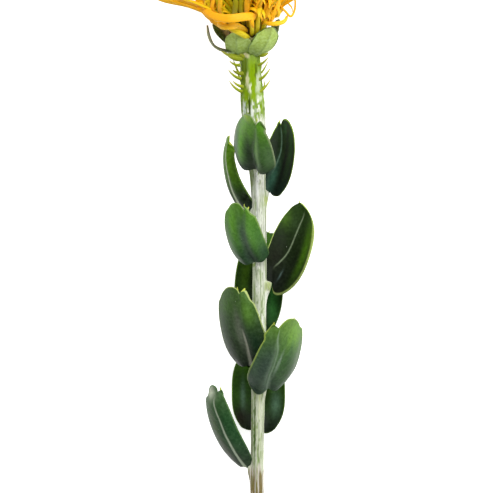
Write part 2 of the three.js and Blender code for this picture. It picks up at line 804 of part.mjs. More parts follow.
function flowerHead() {
  const styleDraws = randomSource(STYLES.seed);
  const ribbonDraws = randomSource(RIBBONS.seed);
  const parts = [
    core(),
    ...Array.from({ length: STYLES.count }, (_, i) => style(i, styleDraws)),
    ...SIDE_STYLES.map((path) => pin(new THREE.CatmullRomCurve3(path.map((p) => vec(...p))))),
    ...Array.from({ length: RIBBONS.count }, (_, i) => ribbon(i, ribbonDraws)),
    ...FRONT_STRANDS.map(strand),
  ];
  return geometryOf(fuse(parts.map(solidOf)));
}

// The cup that holds the florets. Rows of overlapping scales stand out of its wall, each row half a
// scale aside from the one below.
function cup() {
  const { bottom, rim, footRadius, rimRadius, wall, floor, sides } = CUP;
  const { rows, proud, tip, step } = CUP_SCALES;
  const wallAt = (h) => footRadius + (rimRadius - footRadius) * Math.sqrt((h - bottom) / (rim - bottom));
  const scaleRing = (height, distance, row) =>
    headRing(height, distance, sides).map((point, s) =>
      point.addScaledVector(headAxes.out, (s + row) % 2 ? tip : -tip),
    );
  const rings = [
    headRing(bottom, footRadius, sides),
    ...rows.flatMap((height, row) => [
      scaleRing(height, wallAt(height) + proud, row),
      scaleRing(height - step, wallAt(height), row),
    ]),
    headRing(rim, rimRadius, sides),
    headRing(rim, rimRadius - wall, sides),
    headRing(bottom + 4, rimRadius - wall - 0.2, sides),
    headRing(floor, 0.82 * CORE.radius, sides),
  ];
  return loft(rings);
}

const group = new THREE.Group();
group.position.set(-ORIGIN.x, -ORIGIN.y, 0);
group.add(meshOf("stem", stem(), COLOURS.stem));
const room = stemBody(CLASP_GAP);
for (const leaf of LEAVES)
  group.add(meshOf(leaf.name, leafGeometry({ ...leaf, blade: BLADE }, room, true), COLOURS.leaf));
for (const leaf of COLLAR_LEAVES)
  group.add(meshOf(leaf.name, leafGeometry({ ...leaf, blade: SMALL_BLADE }, room, false), COLOURS.collar));
group.add(meshOf("cup", cup(), COLOURS.cup));
group.add(meshOf("flower_head", flowerHead(), COLOURS.head));

export default group;
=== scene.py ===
"""Dresses a cut pincushion protea that lies on a pale surface and is seen from above.

Sizes are in millimetres in the flower's own coordinates: the stem runs along +Y to the head, +X is
to its right and +Z is up from the surface. Meshes are in metres in the shared frame.
"""

import logging
import math
from dataclasses import dataclass, replace
from enum import Enum
from typing import Any, Sequence

import bpy
import numpy as np
from mathutils import Matrix


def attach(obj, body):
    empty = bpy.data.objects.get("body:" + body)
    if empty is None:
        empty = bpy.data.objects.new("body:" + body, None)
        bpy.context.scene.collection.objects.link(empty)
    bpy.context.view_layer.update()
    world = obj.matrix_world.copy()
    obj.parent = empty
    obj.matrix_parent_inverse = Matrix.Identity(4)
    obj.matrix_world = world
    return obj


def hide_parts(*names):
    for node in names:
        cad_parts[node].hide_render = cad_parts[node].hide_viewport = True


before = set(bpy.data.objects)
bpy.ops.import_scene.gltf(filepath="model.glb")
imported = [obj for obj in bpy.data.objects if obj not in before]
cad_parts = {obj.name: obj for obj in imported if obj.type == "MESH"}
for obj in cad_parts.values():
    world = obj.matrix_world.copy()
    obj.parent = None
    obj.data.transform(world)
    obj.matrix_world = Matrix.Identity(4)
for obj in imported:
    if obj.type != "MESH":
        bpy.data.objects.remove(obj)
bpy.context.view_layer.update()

LOG = logging.getLogger("protea")
Array = np.ndarray
Place = tuple[float, float, float]
Spot = tuple[float, float]
Spots = tuple[Spot, ...]
DEGREE = math.pi / 180
GOLDEN_ANGLE = math.pi * (3 - math.sqrt(5))
MM = 0.001
BODY = "root"

# The shared frame's origin, in the flower's own coordinates.
ORIGIN = np.array([-3.5, 11.7, 0.0])


# Arithmetic on points


def smoothstep(x: Any, low: float = 0.0, high: float = 1.0) -> Array:
    """Smooth ramp.

    Args:
        x: Values.
        low: Where the ramp starts.
        high: Where it ends.

    Returns:
        0 before low, 1 after high and a smooth rise between.
    """
    t = np.clip((np.asarray(x, float) - low) / (high - low), 0.0, 1.0)
    return t * t * (3.0 - 2.0 * t)


@dataclass(frozen=True)
class Ramp:
    """A smooth rise between two values, and how much of it shows."""

    low: float
    high: float
    share: float = 1.0

    def of(self, values: Any) -> Array:
        """The rise at values."""
        return smoothstep(values, self.low, self.high) * self.share


def around(sides: int) -> Array:
    """Angles evenly spaced around a circle."""
    return np.linspace(0, 2 * math.pi, sides, endpoint=False)


def unit(vectors: Any) -> Array:
    """Vectors along the last axis at length 1."""
    vectors = np.asarray(vectors, float)
    return vectors / np.maximum(np.linalg.norm(vectors, axis=-1, keepdims=True), 1e-12)


def dot(a: Array, b: Array) -> Array:
    """Products of two sets of vectors, with the last axis kept."""
    return np.sum(a * b, axis=-1, keepdims=True)


def turned(vectors: Array, axes: Array, angles: Any) -> Array:
    """Turns vectors about unit axes.

    Args:
        vectors: Vectors to turn.
        axes: Unit axes.
        angles: Angles in radians.

    Returns:
        The turned vectors.
    """
    angles = np.asarray(angles, float)[..., None]
    along = dot(vectors, axes)
    return (
        vectors * np.cos(angles)
        + np.cross(axes, vectors) * np.sin(angles)
        + axes * along * (1 - np.cos(angles))
    )


def settled(points: Array, radius: float, blend: float) -> Array:
    """Keeps strands off the surface: what would reach below lies along it.

    Args:
        points: Points of the strands' middles.
        radius: How high a resting strand's middle lies.
        blend: Height over which a strand turns to lie flat.

    Returns:
        The moved points.
    """
    depth = points[..., 2] - radius + blend
    flat = np.where(depth <= 0, radius, radius + depth * depth / (4 * blend))
    points = points.copy()
    points[..., 2] = np.where(depth < 2 * blend, flat, points[..., 2])
    return points


class Noise:
    """Seeded smooth noise from -1 to 1."""

    SHIFT = 137.0

    def __init__(self, seed: int, cells: int = 32) -> None:
        """Draws the lattice.

        Args:
            seed: Seed of the draw.
            cells: Lattice cells each way before the noise repeats.
        """
        self.cells = cells
        self.lattice = np.random.default_rng(seed).uniform(-1, 1, (cells,) * 3)

    def at(self, points: Array, size: Any) -> Array:
        """Noise at points.

        Args:
            points: Points, the last axis being x, y and z.
            size: Size of a blot, one number or one for each axis.

        Returns:
            A value for each point.
        """
        scaled = points / np.asarray(size, float) + self.SHIFT
        cell = np.floor(scaled).astype(int)
        share = scaled - cell
        share = share * share * (3 - 2 * share)
        total = np.zeros(points.shape[:-1])
        for corner in np.ndindex(2, 2, 2):
            weight = np.prod(np.where(corner, share, 1 - share), axis=-1)
            place = tuple(((cell + corner) % self.cells)[..., axis] for axis in range(3))
            total += weight * self.lattice[place]
        return total


# Curves


@dataclass(frozen=True)
class Arc:
    """A Bezier curve of three or four points."""

    bends: Array

    def at(self, t: Any) -> Array:
        """Points at shares t of the curve."""
        level = [np.asarray(b, float) for b in self.bends]
        t = np.asarray(t, float)[..., None]
        while len(level) > 1:
            level = [a + (b - a) * t for a, b in zip(level, level[1:])]
        return level[0] + 0 * t

    def along(self, t: Any) -> Array:
        """Unit tangents at shares t of the curve."""
        steps = np.diff(np.asarray(self.bends, float), axis=0)
        return unit(Arc(steps).at(t))


def eased(a: Any, b: Any, start: Any, end: Any, t: Any) -> Any:
    """The smooth way from a to b at share t, with a slope at each end.

    Args:
        a: Value at the start.
        b: Value at the end.
        start: Slope at the start.
        end: Slope at the end.
        t: Share of the way.

    Returns:
        The value there.
    """
    return (
        (2 * t**3 - 3 * t**2 + 1) * a
        + (t**3 - 2 * t**2 + t) * start
        + (3 * t**2 - 2 * t**3) * b
        + (t**3 - t**2) * end
    )


def through(path: Sequence[Sequence[float]], count: int) -> Array:
    """A smooth line through points, with centripetal spacing.

    Args:
        path: Points on the line.
        count: Points in the result.

    Returns:
        Points along the line, evenly shared among the stretches.
    """
    p = np.asarray(path, float)
    p = np.vstack([2 * p[0] - p[1], p, 2 * p[-1] - p[-2]])
    spans = np.maximum(np.sqrt(np.linalg.norm(np.diff(p, axis=0), axis=1)), 1e-4)
    line = []
    for share in np.linspace(0, len(path) - 1, count):
        i = min(int(share), len(path) - 2)
        t = share - i
        before, here, after = spans[i], spans[i + 1], spans[i + 2]
        a, b, c, d = p[i : i + 4]
        start = ((b - a) / before - (c - a) / (before + here) + (c - b) / here) * here
        end = ((c - b) / here - (d - b) / (here + after) + (d - c) / after) * here
        line.append(eased(b, c, start, end, t))
    return np.array(line)


def flat_through(path: Any, count: int) -> Array:
    """A smooth flat line through places, evenly spaced.

    Args:
        path: Places with two coordinates.
        count: Places in the result.

    Returns:
        Places along the line at equal steps.
    """
    path = np.asarray(path, float)
    line = through(np.hstack([path, np.zeros((len(path), 1))]), 8 * count)[:, :2]
    run = np.concatenate([[0], np.cumsum(np.linalg.norm(np.diff(line, axis=0), axis=1))])
    even = np.linspace(0, run[-1], count)
    return np.stack([np.interp(even, run, line[:, k]) for k in (0, 1)], 1)


def tangents(line: Array) -> Array:
    """Unit tangents of a line of points."""
    return unit(np.gradient(line, axis=0))


# Colours


def srgb(code: str) -> tuple[float, float, float, float]:
    """Linear colour of a hexadecimal code.

    Args:
        code: Six hexadecimal digits.

    Returns:
        Red, green, blue and alpha.
    """
    parts = [int(code[i : i + 2], 16) / 255 for i in (0, 2, 4)]
    linear = [c / 12.92 if c <= 0.04045 else ((c + 0.055) / 1.055) ** 2.4 for c in parts]
    return (*linear, 1.0)


def painted(code: str, shape: tuple[int, ...]) -> Array:
    """One colour for each point of an array of a shape."""
    return np.broadcast_to(np.array(srgb(code)[:3]), shape + (3,))


def mixed(colour: Array, code: str, share: Any) -> Array:
    """Colours moved a share of the way to another colour.

    Args:
        colour: The colours.
        code: The other colour.
        share: How far, from 0 to 1.

    Returns:
        The mixed colours.
    """
    return colour + (np.array(srgb(code)[:3]) - colour) * np.asarray(share, float)[..., None]


# On the leaves many of these patches are painted highlights, painted reflections and painted shade;
# others are the leaves' own colour.
@dataclass(frozen=True)
class Blot:
    """A soft patch of colour: its middle and half sizes in millimetres, and its strength."""

    across: float
    along: float
    wide: float
    long: float
    colour: str
    share: float = 0.8

    def on(
        self, colour: Array, across: Array, along: Array, power: float = 2.0, own: Any = 1.0
    ) -> Array:
        """Paints the patch over colours.

        Args:
            colour: The colours so far.
            across: Places of the points.
            along: Places of the points, the other way.
            power: 2 for a soft rim, more for a firm one.
            own: Share of the patch that shows.

        Returns:
            The new colours.
        """
        away = np.abs((across - self.across) / self.wide) ** power
        away = away + np.abs((along - self.along) / self.long) ** power
        return mixed(colour, self.colour, np.exp(-away) * self.share * own)


# Meshes and their values


def placed(points: Array) -> list[list[float]]:
    """Points in millimetres as metres in the shared frame."""
    return ((points - ORIGIN) * MM).tolist()


def carry(mesh: bpy.types.Mesh, name: str, values: Array) -> None:
    """Gives a mesh a named value at each point.

    Args:
        mesh: The mesh.
        name: The value's name.
        values: Whole numbers, numbers, or rows of three.
    """
    vector = values.ndim == 2
    kind = "FLOAT_VECTOR" if vector else "INT" if values.dtype.kind == "i" else "FLOAT"
    layer = mesh.attributes.new(name, kind, "POINT")
    numbers = values.reshape(-1).astype(np.int32 if kind == "INT" else np.float32)
    layer.data.foreach_set("vector" if vector else "value", numbers)


def linked(name: str, data: bpy.types.ID) -> bpy.types.Object:
    """Puts a mesh, a lamp or a camera into the scene.

    Args:
        name: The new object's name.
        data: What the object shows.

    Returns:
        The object.
    """
    made = bpy.data.objects.new(name, data)
    bpy.context.scene.collection.objects.link(made)
    return made


# Skins: points and faces of closed shells


class Skin:
    """Closed shells gathered for one piece, with named values at their points."""

    def __init__(self, *names: str) -> None:
        """Starts empty.

        Args:
            names: Names of the values that each point carries.
        """
        self.points: list[Array] = []
        self.faces: list[list[int]] = []
        self.marks: dict[str, list[Array]] = {name: [] for name in names}
        self.count = 0

    def shell(self, points: Array, faces: list[list[int]], **marks: Any) -> None:
        """Adds one closed shell, turned so that its faces point outwards.

        Args:
            points: Points in millimetres.
            faces: Corner numbers of each face.
            marks: Numbers or colours at the points, or one for all of them.
        """
        points = np.asarray(points, float).reshape(-1, 3)
        volume = sum(
            float(np.dot(points[f[0]], np.cross(points[f[k]], points[f[k + 1]])))
            for f in faces
            for k in range(1, len(f) - 1)
        )
        order = 1 if volume > 0 else -1
        self.faces += [[self.count + k for k in face[::order]] for face in faces]
        self.points.append(points)
        for name, gathered in self.marks.items():
            values = np.asarray(marks[name], float)
            shape = (len(points), 3) if name == "tint" else (len(points),)
            values = values.reshape(shape) if values.size == np.prod(shape) else values
            gathered.append(np.broadcast_to(values, shape))
        self.count += len(points)

    @staticmethod
    def closed(values: Array) -> Array:
        """Values of rings as one list, followed by the first and the last ring's mean."""
        flat = values.reshape((-1,) + values.shape[2:])
        return np.concatenate([flat, values[:1].mean(1), values[-1:].mean(1)])

    def loft(self, rings: Array, **marks: Any) -> None:
        """Adds a shell over rings of points with a fan at each end.

        Args:
            rings: Points as rings, places and coordinates.
            marks: Values for each ring and place, or one for all of them.
        """
        count, sides = rings.shape[:2]
        last = (count - 1) * sides
        turn = [(s, (s + 1) % sides) for s in range(sides)]
        faces = grid(count, sides, True)
        faces += [[count * sides, after, s] for s, after in turn]
        faces += [[count * sides + 1, last + s, last + after] for s, after in turn]
        spread = {}
        for name, values in marks.items():
            values = np.asarray(values, float)
            spread[name] = self.closed(values) if values.ndim > 1 else values
        self.shell(self.closed(rings), faces, **spread)

    def piece(self, name: str) -> bpy.types.Object:
        """Makes the piece's object.

        Args:
            name: The object's name.

        Returns:
            The object, with its place in its mesh.
        """
        mesh = bpy.data.meshes.new(name)
        mesh.from_pydata(placed(np.vstack(self.points)), [], self.faces)
        for mark, values in self.marks.items():
            carry(mesh, mark, np.concatenate(values))
        mesh.shade_smooth()
        return linked(name, mesh)


def grid(rows: int, columns: int, closed: bool) -> list[list[int]]:
    """Faces of a grid of points.

    Args:
        rows: Rows of points.
        columns: Points in a row.
        closed: Whether each row joins up with its own start.

    Returns:
        Corner numbers of the faces.
    """
    faces = []
    for row in range(rows - 1):
        for column in range(columns if closed else columns - 1):
            here, beside = row * columns + column, row * columns + (column + 1) % columns
            faces.append([here, beside, beside + columns, here + columns])
    return faces


def oval_rings(
    line: Array, across: Array, normal: Array, wide: Array, thick: Array, sides: int
) -> Array:
    """Oval sections along a line.

    Args:
        line: Middles of the sections.
        across: Unit vectors along their widths.
        normal: Unit vectors along their thicknesses.
        wide: Half widths.
        thick: Half thicknesses.
        sides: Points in a section.

    Returns:
        The rings of points.
    """
    angle = around(sides)
    return (
        line[:, None]
        + across[:, None] * (wide[:, None] * np.cos(angle))[..., None]
        + normal[:, None] * (thick[:, None] * np.sin(angle))[..., None]
    )


# Node graphs


class Graph:
    """A node tree that is built in code."""

    def __init__(self, tree: bpy.types.NodeTree) -> None:
        """Takes the tree to build in.

        Args:
            tree: An empty node tree.
        """
        self.tree = tree

    def node(
        self, kind: str, settings: dict[str, Any], inputs: dict[Any, Any]
    ) -> bpy.types.Node:
        """Adds a node.

        Args:
            kind: The node's type.
            settings: Its settings, set first.
            inputs: Values or links for its sockets, by name or number.

        Returns:
            The node.
        """
        node = self.tree.nodes.new(kind)
        for name, value in settings.items():
            setattr(node, name, value)
        for key, value in inputs.items():
            value = value.socket if isinstance(value, Wire) else value
            if isinstance(value, bpy.types.NodeSocket):
                self.tree.links.new(value, node.inputs[key])
            else:
                node.inputs[key].default_value = value
        return node

    def make(
        self, kind: str, settings: dict[str, Any], inputs: dict[Any, Any], output: int = 0
    ) -> "Wire":
        """Adds a node and gives one of its outputs, by number."""
        return Wire(self, self.node(kind, settings, inputs).outputs[output])

    def maths(self, operation: str, *values: Any) -> "Wire":
        """The result of an operation on numbers."""
        return self.make("ShaderNodeMath", {"operation": operation}, dict(enumerate(values)))


@dataclass(frozen=True)
class Wire:
    """A socket that sums, differences and products can be written with."""

    graph: Graph
    socket: bpy.types.NodeSocket

    def __add__(self, other: Any) -> "Wire":
        """This plus other."""
        return self.graph.maths("ADD", self, other)

    __radd__ = __add__

    def __mul__(self, other: Any) -> "Wire":
        """This times other."""
        return self.graph.maths("MULTIPLY", self, other)

    __rmul__ = __mul__

    def __sub__(self, other: Any) -> "Wire":
        """This minus other."""
        return self.graph.maths("SUBTRACT", self, other)

    def __rsub__(self, other: Any) -> "Wire":
        """Other minus this."""
        return self.graph.maths("SUBTRACT", other, self)


class Shader(Graph):
    """A material's graph, with the patterns that the finishes share."""

    def __init__(self, name: str) -> None:
        """Starts a material.

        Args:
            name: The material's name.
        """
        self.material = bpy.data.materials.new(name)
        self.material.use_nodes = True
        super().__init__(self.material.node_tree)
        self.tree.nodes.clear()
        self._place: Wire | None = None

    def place(self) -> Wire:
        """The point's place on the piece, in metres."""
        if self._place is None:
            self._place = self.make("ShaderNodeTexCoord", {}, {}, 3)
        return self._place

    def mark(self, name: str) -> Wire:
        """A number that the piece carries at its points."""
        return self.make("ShaderNodeAttribute", {"attribute_name": name}, {}, 2)

    def use_marks(self, *names: str) -> None:
        """Makes three named numbers the place that the noises read."""
        marks = {axis: self.mark(name) for axis, name in enumerate(names)}
        self._place = self.make("ShaderNodeCombineXYZ", {}, marks)

    def tint(self) -> Wire:
        """The colour that the piece carries at its points."""
        return self.make("ShaderNodeAttribute", {"attribute_name": "tint"}, {})

    def noise(self, size: Any, detail: float = 2.0, shift: float = 0.0, sharp: float = 0.5) -> Wire:
        """Smooth noise from 0 to 1 over the piece.

        Args:
            size: Size of a blot in millimetres, one number or one for each axis.
            detail: Octaves.
            shift: Offset that sets this noise apart from others.
            sharp: How strong the finer octaves are.

        Returns:
            The noise.
        """
        scale = tuple(1 / (MM * np.broadcast_to(np.asarray(size, float), (3,))))
        inputs = {"Vector": self.place(), "Location": (shift,) * 3, "Scale": scale}
        place = self.make("ShaderNodeMapping", {}, inputs)
        inputs = {"Vector": place, "Scale": 1.0, "Detail": detail, "Roughness": sharp}
        return self.make("ShaderNodeTexNoise", {}, inputs)

    def ramp(self, value: Any, ramp: Ramp) -> Wire:
        """The rise of a ramp at a value."""
        inputs = {"Value": value, "From Min": ramp.low, "From Max": ramp.high}
        rise = self.make("ShaderNodeMapRange", {"interpolation_type": "SMOOTHSTEP"}, inputs)
        return rise if ramp.share == 1 else rise * ramp.share

    def blend(self, first: Any, second: Any, share: Any) -> Wire:
        """Colour between two colours."""
        settings = {"data_type": "RGBA", "clamp_factor": True}
        return self.make("ShaderNodeMix", settings, {0: share, 6: first, 7: second}, 2)

    def scaled(self, colour: Any, factor: Any) -> Wire:
        """Colour times a number."""
        inputs = {0: colour, "Scale": factor}
        return self.make("ShaderNodeVectorMath", {"operation": "SCALE"}, inputs)

    def bump(self, height: Any, depth: float) -> Wire:
        """Normals that show a relief of a depth in millimetres."""
        inputs = {"Height": height, "Strength": 1.0, "Distance": depth * MM}
        return self.make("ShaderNodeBump", {}, inputs)

    def finish(
        self, colour: Any, roughness: Any, normal: Any = None, **fixed: Any
    ) -> bpy.types.Material:
        """Closes the graph.

        Args:
            colour: Base colour.
            roughness: Roughness.
            normal: Normals, or None for the plain ones.
            fixed: Other values of the surface, the same all over it.

        Returns:
            The material.
        """
        inputs = {"Base Color": colour, "Roughness": roughness}
        if normal is not None:
            inputs["Normal"] = normal
        inputs.update({name.replace("_", " "): value for name, value in fixed.items()})
        surface = self.make("ShaderNodeBsdfPrincipled", {}, inputs)
        self.node("ShaderNodeOutputMaterial", {}, {"Surface": surface})
        return self.material


class Recipe(Graph):
    """A geometry tree with named sizes that turns a guide into a plain mesh."""

    KINDS = {int: "NodeSocketInt", float: "NodeSocketFloat"}

    def __init__(self, name: str, **sizes: float) -> None:
        """Starts the tree with its inputs.

        Args:
            name: The tree's name.
            sizes: Named sizes with their usual values.
        """
        super().__init__(bpy.data.node_groups.new(name, "GeometryNodeTree"))
        face = self.tree.interface
        face.new_socket("Geometry", in_out="INPUT", socket_type="NodeSocketGeometry")
        for size, value in sizes.items():
            socket = face.new_socket(size, in_out="INPUT", socket_type=self.KINDS[type(value)])
            socket.default_value = value
        face.new_socket("Material", in_out="INPUT", socket_type="NodeSocketMaterial")
        face.new_socket("Geometry", in_out="OUTPUT", socket_type="NodeSocketGeometry")
        self.given = self.tree.nodes.new("NodeGroupInput").outputs

    def named(self, name: str, kind: str) -> Wire:
        """A named value of the guide's points."""
        return self.make("GeometryNodeInputNamedAttribute", {"data_type": kind}, {"Name": name})

    def chance(self, **inputs: Any) -> Wire:
        """A random factor around 1, drawn with the tree's Spread and Seed.

        Args:
            inputs: More values or links for the draw.

        Returns:
            The factor.
        """
        spread = Wire(self, self.given["Spread"])
        draw = {2: 1.0 - spread, 3: 1.0 + spread, "Seed": self.given["Seed"], **inputs}
        return self.make("FunctionNodeRandomValue", {"data_type": "FLOAT"}, draw, 1)

    def close(self, geometry: Wire) -> None:
        """Ends the tree with plain geometry in its material.

        Args:
            geometry: What the tree made.
        """
        smooth = self.make("GeometryNodeSetShadeSmooth", {}, {"Geometry": geometry})
        real = self.make("GeometryNodeRealizeInstances", {}, {"Geometry": smooth})
        inputs = {"Geometry": real, "Material": self.given["Material"]}
        dressed = self.make("GeometryNodeSetMaterial", {}, inputs)
        self.node("NodeGroupOutput", {}, {"Geometry": dressed})

    def run(
        self, guide: bpy.types.Object, material: bpy.types.Material, **sizes: float
    ) -> bpy.types.Object:
        """Turns a guide object into the finished piece.

        Args:
            guide: The object that the tree works on. It becomes the piece.
            material: The piece's material.
            sizes: Values for the named sizes.

        Returns:
            The piece, with a plain mesh and no modifier.
        """
        sockets = {
            item.name: item.identifier
            for item in self.tree.interface.items_tree
            if item.item_type == "SOCKET" and item.in_out == "INPUT"
        }
        modifier = guide.modifiers.new(self.tree.name, "NODES")
        modifier.node_group = self.tree
        modifier[sockets["Material"]] = material
        for name, value in sizes.items():
            modifier[sockets[name]] = value
        graph = bpy.context.evaluated_depsgraph_get()
        graph.update()
        mesh = bpy.data.meshes.new_from_object(guide.evaluated_get(graph))
        guide.modifiers.remove(modifier)
        mesh.name = guide.name
        guide.data = mesh
        return guide

    def grow(
        self, guides: "Guides", name: str, finish: Any, slot: str, node: str, **sizes: float
    ) -> None:
        """Makes a piece from guides and dresses it.

        Args:
            guides: The guides.
            name: The piece's name.
            finish: The piece's finish.
            slot: The record's material slot.
            node: The solid that it stands for.
            sizes: Values for the named sizes.
        """
        material = finish.material()
        dress(self.run(guides.piece(name), material, **sizes), material, slot, node)


class Sweep(Recipe):
    """Strands: oval sections swept along guide lines, thick as each point says."""

    def __init__(self) -> None:
        """Builds the tree."""
        super().__init__("strands", Sides=8, Flatness=1.0, Spread=0.06, Seed=3)
        given = self.given
        curve = self.make("GeometryNodeMeshToCurve", {}, {"Mesh": given["Geometry"]})
        inputs = {"Curve": curve, "Normal": self.named("facing", "FLOAT_VECTOR")}
        curve = self.make("GeometryNodeSetCurveNormal", {"mode": "FREE"}, inputs)
        thick = self.named("radius", "FLOAT") * self.chance(ID=self.named("strand", "INT"))
        inputs = {"Resolution": given["Sides"], "Radius": 1.0}
        circle = self.make("GeometryNodeCurvePrimitiveCircle", {}, inputs)
        scale = self.make("ShaderNodeCombineXYZ", {}, {0: given["Flatness"], 1: 1.0, 2: 1.0})
        oval = self.make("GeometryNodeTransform", {}, {"Geometry": circle, "Scale": scale})
        inputs = {"Curve": curve, "Profile Curve": oval, "Scale": thick, "Fill Caps": True}
        self.close(self.make("GeometryNodeCurveToMesh", {}, inputs))


class Knobs(Recipe):
    """Egg-shaped knobs on points, each along the heading of its point."""

    def __init__(self) -> None:
        """Builds the tree."""
        super().__init__("knobs", Width=0.001, Length=0.002, Spread=0.1, Seed=5)
        width, length = self.given["Width"], self.given["Length"]
        inputs = {"Segments": 10, "Rings": 8, "Radius": 1.0}
        ball = self.make("GeometryNodeMeshUVSphere", {}, inputs)
        scale = self.make("ShaderNodeCombineXYZ", {}, {0: width, 1: width, 2: length})
        egg = self.make("GeometryNodeTransform", {}, {"Geometry": ball, "Scale": scale})
        inputs = {"Vector": self.named("heading", "FLOAT_VECTOR")}
        turn = self.make("FunctionNodeAlignRotationToVector", {"axis": "Z"}, inputs)
        inputs = {"Points": self.given["Geometry"], "Instance": egg, "Rotation": turn}
        inputs["Scale"] = self.chance()
        self.close(self.make("GeometryNodeInstanceOnPoints", {}, inputs))


class Guides:
    """Guide lines or points for the geometry trees."""

    def __init__(self) -> None:
        """Starts empty."""
        self.points: list[Array] = []
        self.edges: list[tuple[int, int]] = []
        self.values: dict[str, list[Array]] = {}
        self.count = 0

    def add(self, line: Array, **values: Any) -> None:
        """Adds a line of points, or one point.

        Args:
            line: The points in millimetres.
            values: Numbers or vectors at the points, or one number for all of them.
        """
        values["strand"] = len(self.points)
        for name, value in values.items():
            value = np.asarray(value)
            value = np.broadcast_to(value, (len(line),) + value.shape[1:])
            self.values.setdefault(name, []).append(value)
        self.points.append(line)
        self.edges += [(self.count + i, self.count + i + 1) for i in range(len(line) - 1)]
        self.count += len(line)

    def piece(self, name: str) -> bpy.types.Object:
        """Makes the guide object, under the name of its piece."""
        mesh = bpy.data.meshes.new(name)
        mesh.from_pydata(placed(np.vstack(self.points)), self.edges, [])
        for mark, values in self.values.items():
            carry(mesh, mark, np.concatenate(values))
        return linked(name, mesh)


def dress(piece: bpy.types.Object, material: bpy.types.Material, slot: str, *nodes: str) -> None:
    """Gives a piece its material and its place in the frame.

    Args:
        piece: The finished object.
        material: Its material.
        slot: The record's material slot. Not used.
        nodes: The solids that it stands for.
    """
    piece.data.materials.clear()
    piece.data.materials.append(material)
    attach(piece, BODY)
    if nodes:
        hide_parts(*nodes)
    LOG.info("%s: %d faces", piece.name, len(piece.data.polygons))


# Leaves: where and how they grow


class Side(Enum):
    """The side of a leaf that the camera sees."""

    OUTER = 1
    UPPER = -1


@dataclass(frozen=True)
class Tone:
    """Colours of one leaf from its foot to its tip, with patches.

    The midrib shows from rib_from to rib_to, as shares of the blade's length. Its colour is a pale
    midrib on most leaves, partly a painted reflection along the fold on leaf_02 and leaf_08, and
    painted shade in the fold's groove on leaf_01 and leaf_04. The margins are widths in
    millimetres, on the minus and on the plus side. The darker foot is partly the leaf's own tone
    and partly painted shade, and many patches are painted highlights, painted reflections and
    painted shade.
    """

    foot: str
    middle: str
    tip: str
    rib: str
    rib_share: float = 0.5
    rib_width: float = 0.3
    rib_from: float = -0.2
    rib_to: float = 0.86
    margin: str = "93a84a"
    margins: Spot = (0.3, 0.3)
    blots: tuple[Blot, ...] = ()


@dataclass(frozen=True)
class Tip:
    """A blade's midrib, its notch and the lobes beside it, as places across and along the blade."""

    rib: Spots
    plus: Spots
    minus: Spots
    teeth: Spots = ()


@dataclass(frozen=True)
class LeafPlan:
    """Where a leaf grows, how it turns and folds, its tip and its colours.

    It starts at y on the stem, at an azimuth in degrees from the right side over the top. Its
    middle line ends at tip and its upper face looks along face. The lobes are the depths of the
    minus and the plus lobe at its foot. The middle line bends by bow away from face and by sway
    to the side. Fold, bulge, skew and base are shares of the width, and twist is in degrees.
    """

    name: str
    y: float
    azimuth: float
    tip: Place
    face: Place
    width: float
    lobes: Spot
    fold: float
    bulge: float
    bow: float
    tone: Tone
    cushion: float = 0.0
    skew: float = 0.0
    sway: float = 0.0
    twist: float = 0.0
    side: Side = Side.OUTER
    end: Tip | None = None
    base: float = 0.62
